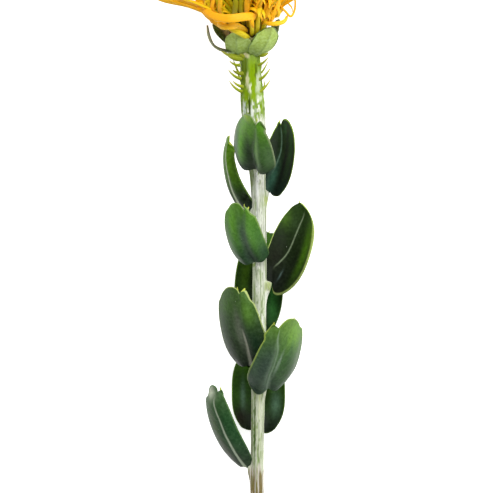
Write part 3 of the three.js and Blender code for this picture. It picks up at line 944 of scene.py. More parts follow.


# The patches in each tone mix the leaf's own colour with painted light: painted highlights and
# painted reflections where the gloss catches the lamps, and painted shade in the folds, beside the
# midribs and at the feet.
LEAVES = (
    LeafPlan(
        "leaf_01", y=40.4, azimuth=91, tip=(2, 63.6, 68), face=(0.55, 0.67, -0.49), width=23.6,
        lobes=(-1.3, -0.9), fold=0.25, bulge=0.25, bow=7.3, cushion=1.4, skew=0.15, sway=-4.8,
        twist=-28, base=0.8,
        # Painted light on leaf_01: the bright band (5a981c) is a painted highlight, the grey patch
        # near the rim (85867e) a painted sheen, and the dark midrib line, the darker side (34503c),
        # the dark fold (1c2c1a) and the dark foot (16281c) are painted shade.
        tone=Tone("1c3020", "3a6420", "4e801a", "22301c", rib_share=0.4, rib_width=0.8,
            margin="7c8c60", margins=(0.2, 0.25), blots=(Blot(6.4, 21, 1.7, 14, "5a981c", 0.9),
            Blot(10.4, 16, 1.6, 12, "34503c", 0.6), Blot(12.7, 22, 1, 13, "85867e", 0.75),
            Blot(1.8, 16, 1.6, 16, "1c2c1a", 0.85), Blot(-3.2, 22, 1, 12, "6c9448", 0.75),
            Blot(3.6, 39.2, 4.2, 2, "8cab1c", 0.95), Blot(-8.5, 16, 2.5, 12, "4f7040", 0.6),
            Blot(4, 33, 4.4, 5, "5f9420", 0.6), Blot(7, 4, 6, 5, "16281c", 0.85),
            Blot(11.5, 6, 2, 5, "5a6660", 0.5))),
        end=Tip(((0.3, 5.2), (0, 12), (0.1, 20.1), (-2.5, 30), (-4.5, 36.4)), ((8.6, 36.2),
            (6, 38.8), (3, 40.2), (0, 40.6), (-2.8, 38.6)), ((-7.5, 36), (-6.1, 39.2)),
            ((-5.2, 39.9),)),
    ),
    LeafPlan(
        "leaf_02", y=26.6, azimuth=-23, tip=(18.9, 64.9, 19.8), face=(-0.44, 0.25, 0.86),
        width=16.3, lobes=(3.8, 1.1), fold=0.45, bulge=0.06, bow=1.5, cushion=2, skew=0.19,
        sway=4.1, twist=-26, side=Side.UPPER,
        # Painted light on leaf_02: the blue-green patch at the foot (2c5040) and the bluish midrib
        # are partly painted reflection, and the near-black strip beside the midrib (040803) is
        # painted shade in the fold.
        tone=Tone("0c1a12", "101f08", "15290a", "5c7866", rib_share=0.6, rib_width=0.32,
            rib_from=0.2, margin="7f9e34", margins=(0.25, 0.35),
            blots=(Blot(-1.4, 7, 2.2, 9, "2c5040", 0.85), Blot(6.2, 25, 1.6, 11, "173a0a", 0.7),
            Blot(1.5, 33, 1.2, 3, "264a24", 0.6), Blot(3, 14, 1.1, 13, "040803", 0.9),
            Blot(-3.2, 22, 1.8, 8, "0c1a08", 0.7))),
        end=Tip(((-2.2, 5), (-1.2, 14.6), (-0.5, 21.5), (-0.9, 28.7), (-1.9, 34.6)), ((9.3, 23.6),
            (8.3, 28.8), (6.2, 33.2), (3.4, 36.3), (0.1, 37.7), (-1.4, 36.8)), ((-5.6, 29.3),
            (-4.8, 32), (-3.8, 34.5), (-2.9, 36.8)), ((-2.8, 36.8),)),
    ),
    LeafPlan(
        "leaf_03", y=18.3, azimuth=190, tip=(-9.6, 55.1, 35.6), face=(0.85, 0.33, -0.41),
        width=14.2, lobes=(4.4, 4.1), fold=0.5, bulge=0.15, bow=8, cushion=1.6, skew=0.21, sway=5.6,
        twist=-24,
        # Painted shade on leaf_03: the near-black patch near the foot (0a1008) is painted shade
        # where the blade's far half lies in shadow.
        tone=Tone("16281c", "3c6010", "4a7408", "b3bfa0", rib_share=1, rib_width=0.42,
            margin="6f8f34", margins=(0.25, 0.2), blots=(Blot(4.5, 12, 2.2, 9, "183018", 0.85),
            Blot(-3.4, 27, 1.6, 8, "568404", 0.7), Blot(-3.8, 5, 2.4, 7, "0a1008", 0.95),
            Blot(4.5, 30, 2, 5, "4c7210", 0.5))),
        end=Tip(((1.5, 4.6), (0.6, 10.7), (-1.5, 18.3), (-2.1, 26.2), (-2.4, 31.8), (-3.7, 37.2)),
            ((5.2, 33), (3.2, 36), (0.4, 38.4), (-2.6, 39.8)), ((-5, 30.4), (-4.7, 33.4),
            (-4.3, 36.2)), ((-3, 39.9), (-4.2, 36.6))),
    ),
    LeafPlan(
        "leaf_04", y=-6.3, azimuth=112, tip=(-4.4, 22, 50.2), face=(0.27, 0.61, -0.74), width=18.9,
        lobes=(0.5, -1.2), fold=0.24, bulge=0.18, bow=6.5, cushion=1.6, skew=0.03, sway=1.8,
        twist=-25, base=0.8,
        # Painted light on leaf_04: the bright patches (5c961f, 659c40) are painted highlights, the
        # grey patch along the rim (67755c) a painted sheen, and the dark midrib line and the dark
        # foot (243c2a) are painted shade.
        tone=Tone("2a4a2a", "43722a", "4c7c18", "46564a", rib_share=0.35, rib_width=1.1,
            margin="7c9a50", margins=(0.2, 0.2), blots=(Blot(-0.4, 18, 2.2, 12, "46584a", 0.75),
            Blot(4.2, 26, 2, 8, "5c961f", 0.75), Blot(-4.4, 20, 1.8, 10, "659c40", 0.7),
            Blot(1.8, 6, 3.4, 5, "243c2a", 0.8), Blot(8.8, 16, 1.2, 12, "67755c", 0.55),
            Blot(-7, 6, 2, 4, "2c4c30", 0.7))),
        end=Tip(((0.5, 8.2), (-0.3, 16.2), (-2, 25.6), (-3.7, 32.3)), ((6.2, 32.6), (4.6, 34.7),
            (1.9, 36.3), (-1.2, 36)), ((-6.3, 31.6), (-5, 34.2), (-3.9, 35.3)), ((-3.7, 35.6),
            (-5.2, 33.9))),
    ),
    LeafPlan(
        "leaf_05", y=-18.3, azimuth=-4, tip=(27.2, 22, 18.5), face=(-0.33, 0.19, 0.92), width=22.4,
        lobes=(0.9, 4.1), fold=0.35, bulge=0.05, bow=0.8, cushion=2.7, skew=0.12, sway=5.6,
        twist=-20, side=Side.UPPER,
        # Painted light on leaf_05: the bright band on one half (3a6004) and the grey-blue streak at
        # the foot (5f7670) are painted highlights, and the near-black strip beside the midrib
        # (0b1206) and the dark patch low on the other half (15170c) are painted shade.
        tone=Tone("0b1208", "122006", "1c3208", "8c9c7c", rib_share=0.6, rib_width=0.2,
            rib_from=0.12, margin="bcd276", margins=(0.2, 1.8),
            blots=(Blot(-6, 34, 3, 5, "3c5c10", 0.8), Blot(8.4, 22, 2.4, 14, "3a6004", 0.95),
            Blot(-1, 33, 3, 5, "2c4020", 0.6), Blot(-5.5, 13, 4, 7, "15170c", 0.8),
            Blot(1.2, 5, 0.4, 2.6, "5f7670", 0.5), Blot(5, 14, 2, 10, "0b1206", 0.8),
            Blot(10.8, 30, 1.2, 6, "6a8c1c", 0.7))),
        end=Tip(((-2, 3), (-3.6, 6.6), (-2.3, 10.9), (-0.7, 15.9), (-0.1, 19.9), (0.5, 26.4),
            (1.4, 31.6), (2.7, 36.4), (2.6, 40), (-0.5, 42.9)), ((12.3, 25.6), (11.6, 29.8),
            (10, 33.2), (7.3, 36.6), (4, 39.8), (1.2, 42.2)), ((-9.4, 26.6), (-8.5, 31), (-7.1, 35),
            (-5.3, 38.3), (-3.2, 41.2)), ((-0.8, 43),)),
    ),
    LeafPlan(
        "leaf_06", y=-40.7, azimuth=270, tip=(11.5, 7.7, 5.6), face=(0.04, 0.19, 0.98), width=24.1,
        lobes=(3.4, 3), fold=0.26, bulge=0.06, bow=0.7, cushion=1.2, skew=0.02, sway=-5.1, twist=4,
        side=Side.UPPER,
        tone=Tone("10240e", "1c3606", "2c5206", "3c5a24", rib_share=0.4, rib_width=0.45,
            margin="6f9034", margins=(0.25, 0.45), blots=(Blot(-7, 26, 2.4, 10, "3a5a04", 0.85),
            Blot(-3.5, 22, 1.2, 12, "0e1a08", 0.7), Blot(7.5, 16, 3, 14, "2f6a2c", 0.9),
            Blot(0, 44, 5, 3.4, "38640c", 0.8))),
    ),
    LeafPlan(
        "leaf_07", y=-58.6, azimuth=133, tip=(-8.7, -18.7, 35.3), face=(0.43, 0.41, -0.81),
        width=23.4, lobes=(2.7, -0.8), fold=0.35, bulge=0.15, bow=5.4, cushion=1.5, skew=-0.01,
        sway=1.1, twist=-26,
        # Painted light on leaf_07: the grey patches along the midrib (6d7264) are painted sheen.
        tone=Tone("1b231a", "2c4322", "38581c", "a8a898", rib_share=0.75, rib_width=0.4,
            rib_to=0.44, margin="a9b870", margins=(0.14, 0.2),
            blots=(Blot(-0.8, 18, 1.8, 9, "6d7264", 0.55), Blot(-8, 30, 2.8, 7, "56802a", 0.7),
            Blot(-2.2, 25, 1.3, 8, "6d7264", 0.5), Blot(5, 12, 4, 10, "26331e", 0.8),
            Blot(-7.5, 12, 3, 8, "1c3624", 0.8), Blot(4, 34, 4, 4, "3a6018", 0.6),
            Blot(10.4, 16, 1.2, 12, "4c5c44", 0.5))),
        end=Tip(((-1.2, 3.9), (-2.6, 12.9), (-3.2, 21.3), (-3.9, 29.4), (-6.1, 39.8)), ((8.6, 36.6),
            (6.2, 39.8), (2.4, 42.4), (-1.6, 43.2), (-4.8, 42.2)), ((-9.6, 36), (-8.6, 39),
            (-7.3, 41.1)), ((-5.2, 42.3), (-7.2, 41.2))),
    ),
    LeafPlan(
        "leaf_08", y=-70, azimuth=33, tip=(23.3, -35, 41.3), face=(-0.5, 0.59, -0.64), width=27,
        lobes=(0.8, 3.9), fold=0.24, bulge=0.18, bow=7, cushion=1.8, skew=-0.01, sway=3, twist=23,
        # Painted light on leaf_08: the whitish streak along the fold (b4c6b4) is a painted
        # reflection, and so in part is the pale midrib.
        tone=Tone("2c4430", "3e6230", "587f22", "8fa48c", rib_share=0.4, rib_width=0.5,
            margin="8ba044", margins=(0.14, 0.14), blots=(Blot(9.5, 18, 4.4, 17, "34463c", 0.9),
            Blot(-4, 35, 5, 6, "6d9c2a", 0.75), Blot(-6.5, 14, 4, 9, "2e5420", 0.85),
            Blot(-11, 10, 2, 8, "4c6440", 0.7), Blot(1.2, 19, 0.5, 7, "b4c6b4", 0.5),
            Blot(-8, 13, 4.6, 8, "28421c", 0.7), Blot(-3.6, 22, 1.5, 8, "24401a", 0.75),
            Blot(-10.5, 22, 1.2, 12, "6c7a5c", 0.5), Blot(2.4, 31, 1.6, 5, "48702c", 0.6),
            Blot(-3.2, 26, 1.2, 8, "3c6430", 0.6))),
        end=Tip(((0.9, 2), (2.9, 10.9), (3.2, 18.8), (4.7, 27.5), (7.5, 33.8), (8.6, 38.9)),
            ((12.4, 34.4), (11.2, 37.4), (10.1, 40.4)), ((-8.4, 38.4), (-5.8, 41.2), (-2.6, 43),
            (0.4, 43.7), (3.6, 43.7), (6.6, 42.2)), ((10, 40.6), (-0.9, 43.6))),
    ),
    LeafPlan(
        "leaf_09", y=-91.6, azimuth=271, tip=(5.6, -51.6, -1.2), face=(-0.04, 0.2, 0.98),
        width=26.4, lobes=(1.4, 2.9), fold=0.22, bulge=0.1, bow=1.5, cushion=1, skew=0.03, sway=0.2,
        twist=-6, side=Side.UPPER,
        # Painted light on leaf_09: the grey-green streak (5e7a68) and the teal patch (5f8068) are
        # painted highlights.
        tone=Tone("121c10", "26480e", "3c640a", "34502c", rib_share=0.4, rib_width=0.45,
            margin="6c8e30", margins=(0.25, 0.35), blots=(Blot(-7.5, 17, 1.2, 8, "5e7a68", 0.6),
            Blot(-8.5, 5, 3.4, 5, "17120c", 0.9), Blot(8.5, 28, 3.4, 8, "5a8410", 0.9),
            Blot(9, 13, 2.4, 6, "5f8068", 0.75), Blot(5, 18, 1.2, 9, "1c340c", 0.6))),
    ),
    LeafPlan(
        "leaf_10", y=-110.8, azimuth=182, tip=(-17.2, -70.1, 22.5), face=(0.53, 0.45, -0.72),
        width=16.4, lobes=(1.2, -1.4), fold=0.4, bulge=0.07, bow=7.7, cushion=1.6, skew=0.15,
        sway=3.1, twist=-6, base=0.5,
        tone=Tone("243424", "224624", "35562a", "a8b49c", rib_share=1, rib_width=0.42,
            margin="4f6f3c", margins=(0.2, 0.2), blots=(Blot(4.5, 28, 2.5, 9, "36521e", 0.8),
            Blot(-4, 24, 3, 12, "1c4420", 0.7), Blot(1.6, 44, 3, 3.6, "c2cab2", 0.9),
            Blot(5, 20, 3.4, 15, "2c3c14", 0.5), Blot(4.5, 10, 3, 9, "363a2a", 0.8))),
        end=Tip(((-0.5, 4.3), (-1.1, 13.3), (-1, 20), (-1.1, 28.4), (-0.5, 34.3), (-0.6, 39.4),
            (-2.9, 43.7)), ((4.2, 41.8), (2.8, 44.3), (1, 46.4), (-0.8, 46.8), (-2.7, 45.8)),
            ((-4.8, 41.6), (-4.5, 44.4)), ((-4.3, 45),)),
    ),
)

SAGE = Tone("92ab54", "aac55d", "b0ca61", "77905a", rib_share=0.35, rib_width=0.5, margin="a9bb6c",
    margins=(0.15, 0.15))
DUSK = Tone("20400c", "2f500f", "3a5a12", "4c6a24", rib_share=0.4, rib_width=0.4, margin="4c6a1c",
    margins=(0.2, 0.2))
OLIVE = Tone("1c3c0c", "626c3a", "8c865c", "5c6a34", rib_share=0.3, margin="6c6a4c",
    margins=(0.2, 0.2))
BLUSH = Tone("20400c", "2a4c10", "2f5412", "4c6a24", rib_share=0.3, margin="4c6a1c",
    margins=(0.2, 0.2), blots=(Blot(2.4, 12, 1.8, 5, "dcc6ba", 0.9),))
ASH = Tone("20400c", "2f500f", "8ea084", "6c8a5c", rib_share=0.4, rib_width=0.4, margin="7c946c",
    margins=(0.2, 0.2))
COLLAR_LEAVES = (
    LeafPlan(
        "collar_leaf_1", y=95.2, azimuth=166, tip=(-4.9, 106, 53.4), face=(0.2, 0.64, -0.7),
        width=13.2, lobes=(0.6, 0.6), fold=0.2, bulge=-0.06, bow=3.4, skew=-0.08, tone=SAGE,
        base=0.86,
    ),
    LeafPlan(
        "collar_leaf_2", y=95.6, azimuth=51, tip=(12.6, 108.8, 53.4), face=(-0.4, 0.6, -0.7),
        width=13.8, lobes=(1, 1), fold=0.3, bulge=-0.06, bow=4.6, tone=replace(SAGE,
        margin="375c16", margins=(0.85, 0.1)), base=0.56,
    ),
    LeafPlan(
        "collar_leaf_3", y=97.4, azimuth=190, tip=(-19.4, 110.2, 43), face=(0.66, 0.75, 0.04),
        width=7, lobes=(1, 1), fold=0.12, bulge=0, bow=12, tone=OLIVE, base=0.5,
    ),
    LeafPlan(
        "collar_leaf_4", y=96, azimuth=-11, tip=(16.2, 113.4, 37.2), face=(-0.7, 0.5, 0.4),
        width=9.6, lobes=(1, 1), fold=0.25, bulge=-0.05, bow=4, side=Side.UPPER, tone=ASH, base=0.4,
    ),
    LeafPlan(
        "collar_leaf_5", y=97.6, azimuth=228, tip=(-16.6, 111.6, 28.4), face=(0.5, 0.5, 0.7),
        width=8.8, lobes=(1, 1), fold=0.25, bulge=-0.05, bow=3, side=Side.UPPER, tone=BLUSH,
        base=0.4,
    ),
    LeafPlan(
        "collar_leaf_6", y=95.4, azimuth=283, tip=(5, 110, 24), face=(-0.3, 0.6, 0.8), width=12.1,
        lobes=(1, 1), fold=0.25, bulge=-0.05, bow=4, tone=DUSK, base=0.4,
    ),
)


# The stem


@dataclass(frozen=True)
class StemFinish:
    """Felt with fine streaks, over the colours that the stem carries at its points."""

    pale: str = "e8e9df"
    dark: str = "66763c"
    line: str = "77776a"
    streak_size: Place = (0.5, 14, 0.5)
    fine_size: Place = (0.22, 1.4, 0.22)
    line_size: Place = (0.34, 26, 0.34)
    pale_streaks: Ramp = Ramp(0.56, 0.7, 0.45)
    dark_streaks: Ramp = Ramp(0.44, 0.34, 0.5)
    lines: Ramp = Ramp(0.42, 0.36, 0.6)
    roughness: float = 0.7
    depth: float = 0.35
    shine: float = 0.08

    def material(self) -> bpy.types.Material:
        """Builds the material."""
        s = Shader("stem_felt")
        s.use_marks("east", "run", "up")
        streaks = s.noise(self.streak_size, 3, 1.0, 0.6)
        fine = s.noise(self.fine_size, 3, 5.0, 0.6)
        lines = s.noise(self.line_size, 2, 9.0)
        felt = s.mark("felt")
        colour = s.scaled(s.tint(), 0.7 + 0.6 * fine)
        colour = s.blend(colour, srgb(self.pale), s.ramp(streaks, self.pale_streaks) * felt)
        colour = s.blend(colour, srgb(self.dark), s.ramp(streaks, self.dark_streaks) * felt)
        colour = s.blend(colour, srgb(self.line), s.ramp(lines, self.lines) * felt)
        relief = s.bump(0.4 * fine + 0.6 * streaks + 0.6 * s.mark("rough") * fine, self.depth)
        roughness = self.roughness + 0.25 * fine
        return s.finish(colour, roughness, relief, Specular_IOR_Level=self.shine)


# Patches on the stem's upper side, by their place in the flower's own coordinates.
STEM_BLOTS = (
    Blot(-1.3, 85, 1.5, 9, "5c7000", 0.85), Blot(-0.3, 74, 1.7, 4.2, "769400", 0.95),
    Blot(2.9, 85, 1.9, 8, "7c9c00", 0.95), Blot(3.6, 76, 1.3, 4.4, "7c9c00", 0.9),
    Blot(0.4, 82.4, 0.7, 4.2, "dedcb0", 0.95), Blot(1.7, 79, 0.6, 2.6, "e3e4cc", 0.9),
    Blot(5.9, 81, 1.2, 5.4, "bcc6a6", 0.95), Blot(6.4, 73.4, 1.4, 1, "ccd4b8", 0.85),
    Blot(7.4, 69, 0.8, 2, "7c9c08", 0.9), Blot(2.6, 67, 0.4, 4, "e3e9e2", 0.9),
    Blot(4.6, 87.5, 0.4, 4, "4c6004", 0.8), Blot(1.6, 69.6, 0.42, 4.6, "2c3a06", 0.95),
    Blot(-1, 68, 0.7, 2.6, "bccac4", 0.75), Blot(-0.2, 67, 0.4, 4.4, "5c7814", 0.85),
    Blot(-2.4, 72, 0.5, 6, "556c10", 0.8), Blot(-2.9, 88.4, 0.4, 3.6, "b4bc96", 0.8),
    Blot(-0.2, 94.4, 1.6, 1.4, "e4deac", 0.95), Blot(2.8, 95.6, 1.1, 0.8, "1c1a04", 0.9),
    Blot(5.4, 28.5, 3, 5.5, "ecede4", 0.45), Blot(5.3, 18, 0.45, 24, "f1f2ee", 0.85),
    Blot(2.3, 33, 1.2, 6, "869a50", 0.75), Blot(6, 36.2, 0.5, 1.3, "76923c", 0.9),
    Blot(6.7, 31.2, 0.45, 0.8, "84984c", 0.8), Blot(3.8, 14, 0.16, 13, "7c7c70", 0.8),
    Blot(6.5, 12, 0.14, 12, "85857c", 0.7), Blot(7.6, 15, 0.14, 12, "8c9078", 0.7),
    Blot(9.8, 23, 1.3, 2.8, "a3b45c", 0.85), Blot(3.6, -20, 1, 15, "93a376", 0.6),
    Blot(2.9, -8.9, 1.6, 1.1, "7d9a3c", 0.85), Blot(1.8, -8, 0.5, 1.8, "e4e2cc", 0.8),
    Blot(10.8, -20, 1.8, 2.6, "a8b868", 0.85), Blot(4.1, -93, 0.42, 15, "45641c", 0.95),
    Blot(2.2, -93, 0.4, 20, "84826a", 0.8), Blot(3, -90, 0.36, 17, "5f7c3c", 0.75),
    Blot(6.3, -80, 0.25, 7, "b4bd6c", 0.7),
)


@dataclass
class Stem:
    """The woody stem with its ridges, leaf cushions and green stalk."""

    # Distance along the stem, place across and radius.
    stations: tuple[Place, ...] = (
        (-150, 5.0, 3.1), (-122, 5.15, 3.15), (-97, 5.4, 3.2), (-67, 5.9, 3.25), (-27, 6.35, 3.35),
        (13, 6.45, 3.4), (33, 5.6, 3.75), (46, 4.8, 4.7), (57, 4.1, 5.4), (72, 2.95, 5.8),
        (84, 2.25, 5.1), (92, 1.7, 5.0), (100, 1.6, 5.2),
    )
    cut_y: float = -148
    top_y: float = 98.6
    cut_height: float = 3.05
    slope: float = 0.146
    cut_slant: float = 0.55
    cut_length: float = 12
    cut_rings: tuple[float, ...] = (0, 0.35, 0.7, 1.0)
    ridge: float = 0.035
    ridge_depth: float = 0.16
    bark_depth: float = 0.16
    stalk_depth: float = 0.06
    ridge_bend_size: float = 30
    rough_size: Place = (0.9, 7, 0.9)
    cushion_spread: float = 0.5
    cushion_rise: float = 14
    cushion_drop: float = 1.6
    sides: int = 168
    rings: int = 560
    felt: str = "dfe2d3"
    shade: str = "bcc5a2"
    low_shade: str = "9da97c"
    groove: str = "6f8a44"
    stalk_green: str = "769600"
    stalk_dark: str = "4f6402"
    bark: str = "7d6f45"
    bark_pale: str = "d0cbbd"
    wood: str = "b5a070"
    streak_size: Place = (0.8, 12, 0.8)
    blot_size: Place = (1.7, 6, 1.7)
    lace_size: Place = (0.6, 1.6, 0.6)
    shading: Ramp = Ramp(-0.2, 0.5, 0.7)
    low_shading: Ramp = Ramp(30, 75, 0.45)
    # The grooves' green, deepened as painted shade of the ridges.
    grooves: Ramp = Ramp(0.35, 0.75, 0.7)
    knots: Ramp = Ramp(0.42, 0.62, 0.6)
    knots_below: Ramp = Ramp(-35, 20)
    green_from: Ramp = Ramp(72, 75)
    lace_from: Ramp = Ramp(61, 66)
    lace_holes: Ramp = Ramp(-0.12, 0.04)
    green_share: float = 0.92
    green_blots: Ramp = Ramp(0.1, 0.45, 0.75)
    upper_side: Ramp = Ramp(-1.5, 0.5)
    bark_y: float = -112
    bark_edge: Ramp = Ramp(-1.5, 2.5)
    bark_rough: Ramp = Ramp(-2, 4)
    bark_streaks: Ramp = Ramp(0.1, 0.4)
    stalk_rough: Ramp = Ramp(58, 76)
    bare_from: Ramp = Ramp(64, 74, 0.9)
    patch_power: float = 5
    noise: Noise = Noise(41)

    def value(self, y: Any, column: int) -> Array:
        """Smooth value of a column of the stations at distances y."""
        table = np.array(self.stations)
        y = np.asarray(y, float)
        slopes = np.empty(len(table))
        for k in range(len(table)):
            low, high = max(0, k - 1), min(len(table) - 1, k + 1)
            span = table[high] - table[low]
            slopes[k] = span[column] / span[0]
        i = np.clip(np.searchsorted(table[:, 0], y, side="left") - 1, 0, len(table) - 2)
        span = table[i + 1, 0] - table[i, 0]
        here, after = table[i, column], table[i + 1, column]
        return eased(here, after, span * slopes[i], span * slopes[i + 1], (y - table[i, 0]) / span)

    def height(self, y: Any) -> Any:
        """Height of the middle line at distances y."""
        return self.cut_height + self.slope * (y - self.cut_y)

    def axis(self, y: Any) -> Array:
        """Points of the stem's middle line."""
        y = np.asarray(y, float)
        return np.stack([self.value(y, 1), y, self.height(y)], -1)

    def radius(self, y: Any, angle: Any) -> Array:
        """Radius at distances y and angles, with the cushions under the leaves."""
        y, angle = np.asarray(y, float), np.asarray(angle, float)
        total = self.value(y, 2) * (1 + self.ridge * np.cos(4 * angle))
        for leaf in LEAVES:
            away = angle - leaf.azimuth * DEGREE
            turn = np.arctan2(np.sin(away), np.cos(away))
            shape = np.exp(-((turn / self.cushion_spread) ** 2))
            shape = shape * smoothstep(1 + (y - leaf.y) / self.cushion_rise) ** 2
            shape = shape * (1 - smoothstep((y - leaf.y) / self.cushion_drop))
            total = total + leaf.cushion * shape
        return total

    def beside(self, y: Any, angle: Any, distance: Any) -> Array:
        """Points at distances from the middle line."""
        y, angle, distance = np.broadcast_arrays(y, angle, distance)
        along = unit(self.axis(y + 1.0) - self.axis(y - 1.0))
        right = unit(np.array([1.0, 0, 0]) - along * along[..., :1])
        up = np.cross(right, along)
        out = right * np.cos(angle)[..., None] + up * np.sin(angle)[..., None]
        return self.axis(y) + out * distance[..., None]

    def foot(self, leaf: LeafPlan, lift: float) -> Array:
        """Where a leaf's midrib starts, a lift above the stem's surface."""
        angle = leaf.azimuth * DEGREE
        return self.beside(leaf.y, angle, self.radius(leaf.y, angle) + lift)

    def paint(self, points: Array, straight: Array, relief: Array) -> Array:
        """Colours of the stem's skin.

        Args:
            points: Points of the skin.
            straight: The same points on a straightened stem.
            relief: Height of the ridges there, from -1 to 1.

        Returns:
            A colour for each point.
        """
        x, y = points[..., 0], points[..., 1]
        streaks = self.noise.at(straight, self.streak_size)
        blots = self.noise.at(straight + 50, self.blot_size)
        lace = self.noise.at(straight + 90, self.lace_size)
        colour = mixed(painted(self.felt, x.shape), self.shade, self.shading.of(blots))
        colour = mixed(colour, self.low_shade, self.low_shading.of(-y))
        # Green in the grooves between the ridges, deepened as painted shade because the relief is
        # too shallow to shade them.
        colour = mixed(colour, self.groove, self.grooves.of(0.35 * streaks - relief))
        knots = self.knots.of(lace + 0.6 * blots) * self.knots_below.of(-y)
        colour = mixed(colour, self.groove, knots)
        whole = self.green_from.of(y + 5 * streaks + 2 * lace)
        lacy = self.lace_from.of(y) * self.lace_holes.of(lace + 0.2 * streaks)
        green = whole + (1 - whole) * lacy
        colour = mixed(colour, self.stalk_green, green * self.green_share)
        colour = mixed(colour, self.stalk_dark, green * self.green_blots.of(blots + 0.5 * lace))
        upper = self.upper_side.of(points[..., 2] - self.height(y))
        across, along = x + 0.45 * lace, y + 1.6 * blots
        for blot in STEM_BLOTS:
            colour = blot.on(colour, across, along, self.patch_power, upper)
        bark = self.bark_edge.of(self.bark_y - y + 5 * streaks + 4 * blots)
        pale = self.bark_streaks.of(streaks + 0.4 * blots)
        woody = mixed(painted(self.bark, x.shape), self.bark_pale, pale)
        return colour + (woody - colour) * bark[..., None]

    def build(self) -> None:
        """Makes the stem."""
        ends = self.cut_rings
        run = np.linspace(self.cut_y, self.top_y, self.rings)
        y = np.concatenate([[self.cut_y] * len(ends), run])
        shrink = np.concatenate([ends, np.ones(self.rings)])[:, None]
        yy, aa = np.broadcast_arrays(y[:, None], around(self.sides)[None])
        plain = self.beside(yy, aa, self.radius(yy, aa))
        bend = 0.8 * self.noise.at(np.stack([yy * 0, yy, yy * 0], -1), self.ridge_bend_size)
        relief = 0.6 * np.cos(11 * aa + 2.2 * bend) + 0.4 * np.cos(7 * aa - 1.4 * bend + 0.6)
        rough = self.noise.at(plain, self.rough_size)
        bark = self.bark_rough.of(self.bark_y - yy)
        depth = self.ridge_depth + self.bark_depth * bark
        depth = depth + self.stalk_depth * self.stalk_rough.of(yy)
        radius = (self.radius(yy, aa) + (0.7 * relief + 0.5 * rough) * depth) * shrink
        slant = self.cut_slant * radius * np.sin(aa)
        slant = slant * (1 - smoothstep((yy - self.cut_y) / self.cut_length))
        points = self.beside(yy + slant, aa, radius)
        points[..., 2] = np.maximum(points[..., 2], 0)
        straight = np.stack([radius * np.cos(aa), yy, radius * np.sin(aa)], -1)
        tint = self.paint(points, straight, relief)
        tint[: len(ends) - 1] = srgb(self.wood)[:3]
        east, run, up = (straight[..., k] * MM for k in range(3))
        skin = Skin("tint", "rough", "felt", "east", "run", "up")
        felt = 1 - self.bare_from.of(yy)
        skin.loft(points, tint=tint, rough=bark, felt=felt, east=east, run=run, up=up)
        dress(skin.piece("stem_skin"), StemFinish().material(), "stem", "stem")


# Leaves


@dataclass(frozen=True)
class LeafFinish:
    """Leather that shines a little, mottled, with grain, waxy bloom that is partly painted sheen,
    and rare pale specks.
    """

    name: str
    bloom_and_sheen: str = "6a7c62"
    bloom_and_sheen_share: float = 0.12
    bloom_and_sheen_spots: Ramp = Ramp(0.62, 1.0)
    speck: str = "c9cfc2"
    specks: float = 0.6
    speck_cells: float = 240
    speck_rim: Ramp = Ramp(0.02, 0.06)
    speck_zones: Ramp = Ramp(0.45, 0.6)
    broad_size: float = 6
    mottle_size: float = 1.5
    grain_size: float = 0.26
    roughness: float = 0.33
    grain: float = 0.14
    depth: float = 0.2
    shine: float = 0.13

    def material(self) -> bpy.types.Material:
        """Builds the material."""
        s = Shader(self.name)
        broad = s.noise(self.broad_size, 3, 2.0)
        mottle = s.noise(self.mottle_size, 4, 6.0, 0.6)
        grain = s.noise(self.grain_size, 3, 11.0, 0.6)
        veins = s.mark("vein")
        colour = s.scaled(s.tint(), 0.06 + 1.15 * mottle + 0.36 * broad + 0.36 * grain)
        colour = s.blend(colour, s.scaled(colour, 1.3), veins * 0.3)
        # Grey spots: partly waxy bloom, partly painted sheen.
        bloom_and_sheen = s.ramp(mottle + 0.5 * broad, self.bloom_and_sheen_spots)
        colour = s.blend(colour, srgb(self.bloom_and_sheen), bloom_and_sheen * self.bloom_and_sheen_share)
        inputs = {"Vector": s.place(), "Scale": self.speck_cells}
        cells = s.make("ShaderNodeTexVoronoi", {}, inputs)
        dots = (1 - s.ramp(cells, self.speck_rim)) * s.ramp(broad, self.speck_zones)
        colour = s.blend(colour, srgb(self.speck), dots * self.specks)
        roughness = self.roughness + 0.2 * mottle + 0.12 * bloom_and_sheen
        relief = s.bump(grain * self.grain + mottle * 0.4 + veins * 0.2, self.depth)
        return s.finish(colour, roughness, relief, Specular_IOR_Level=self.shine)


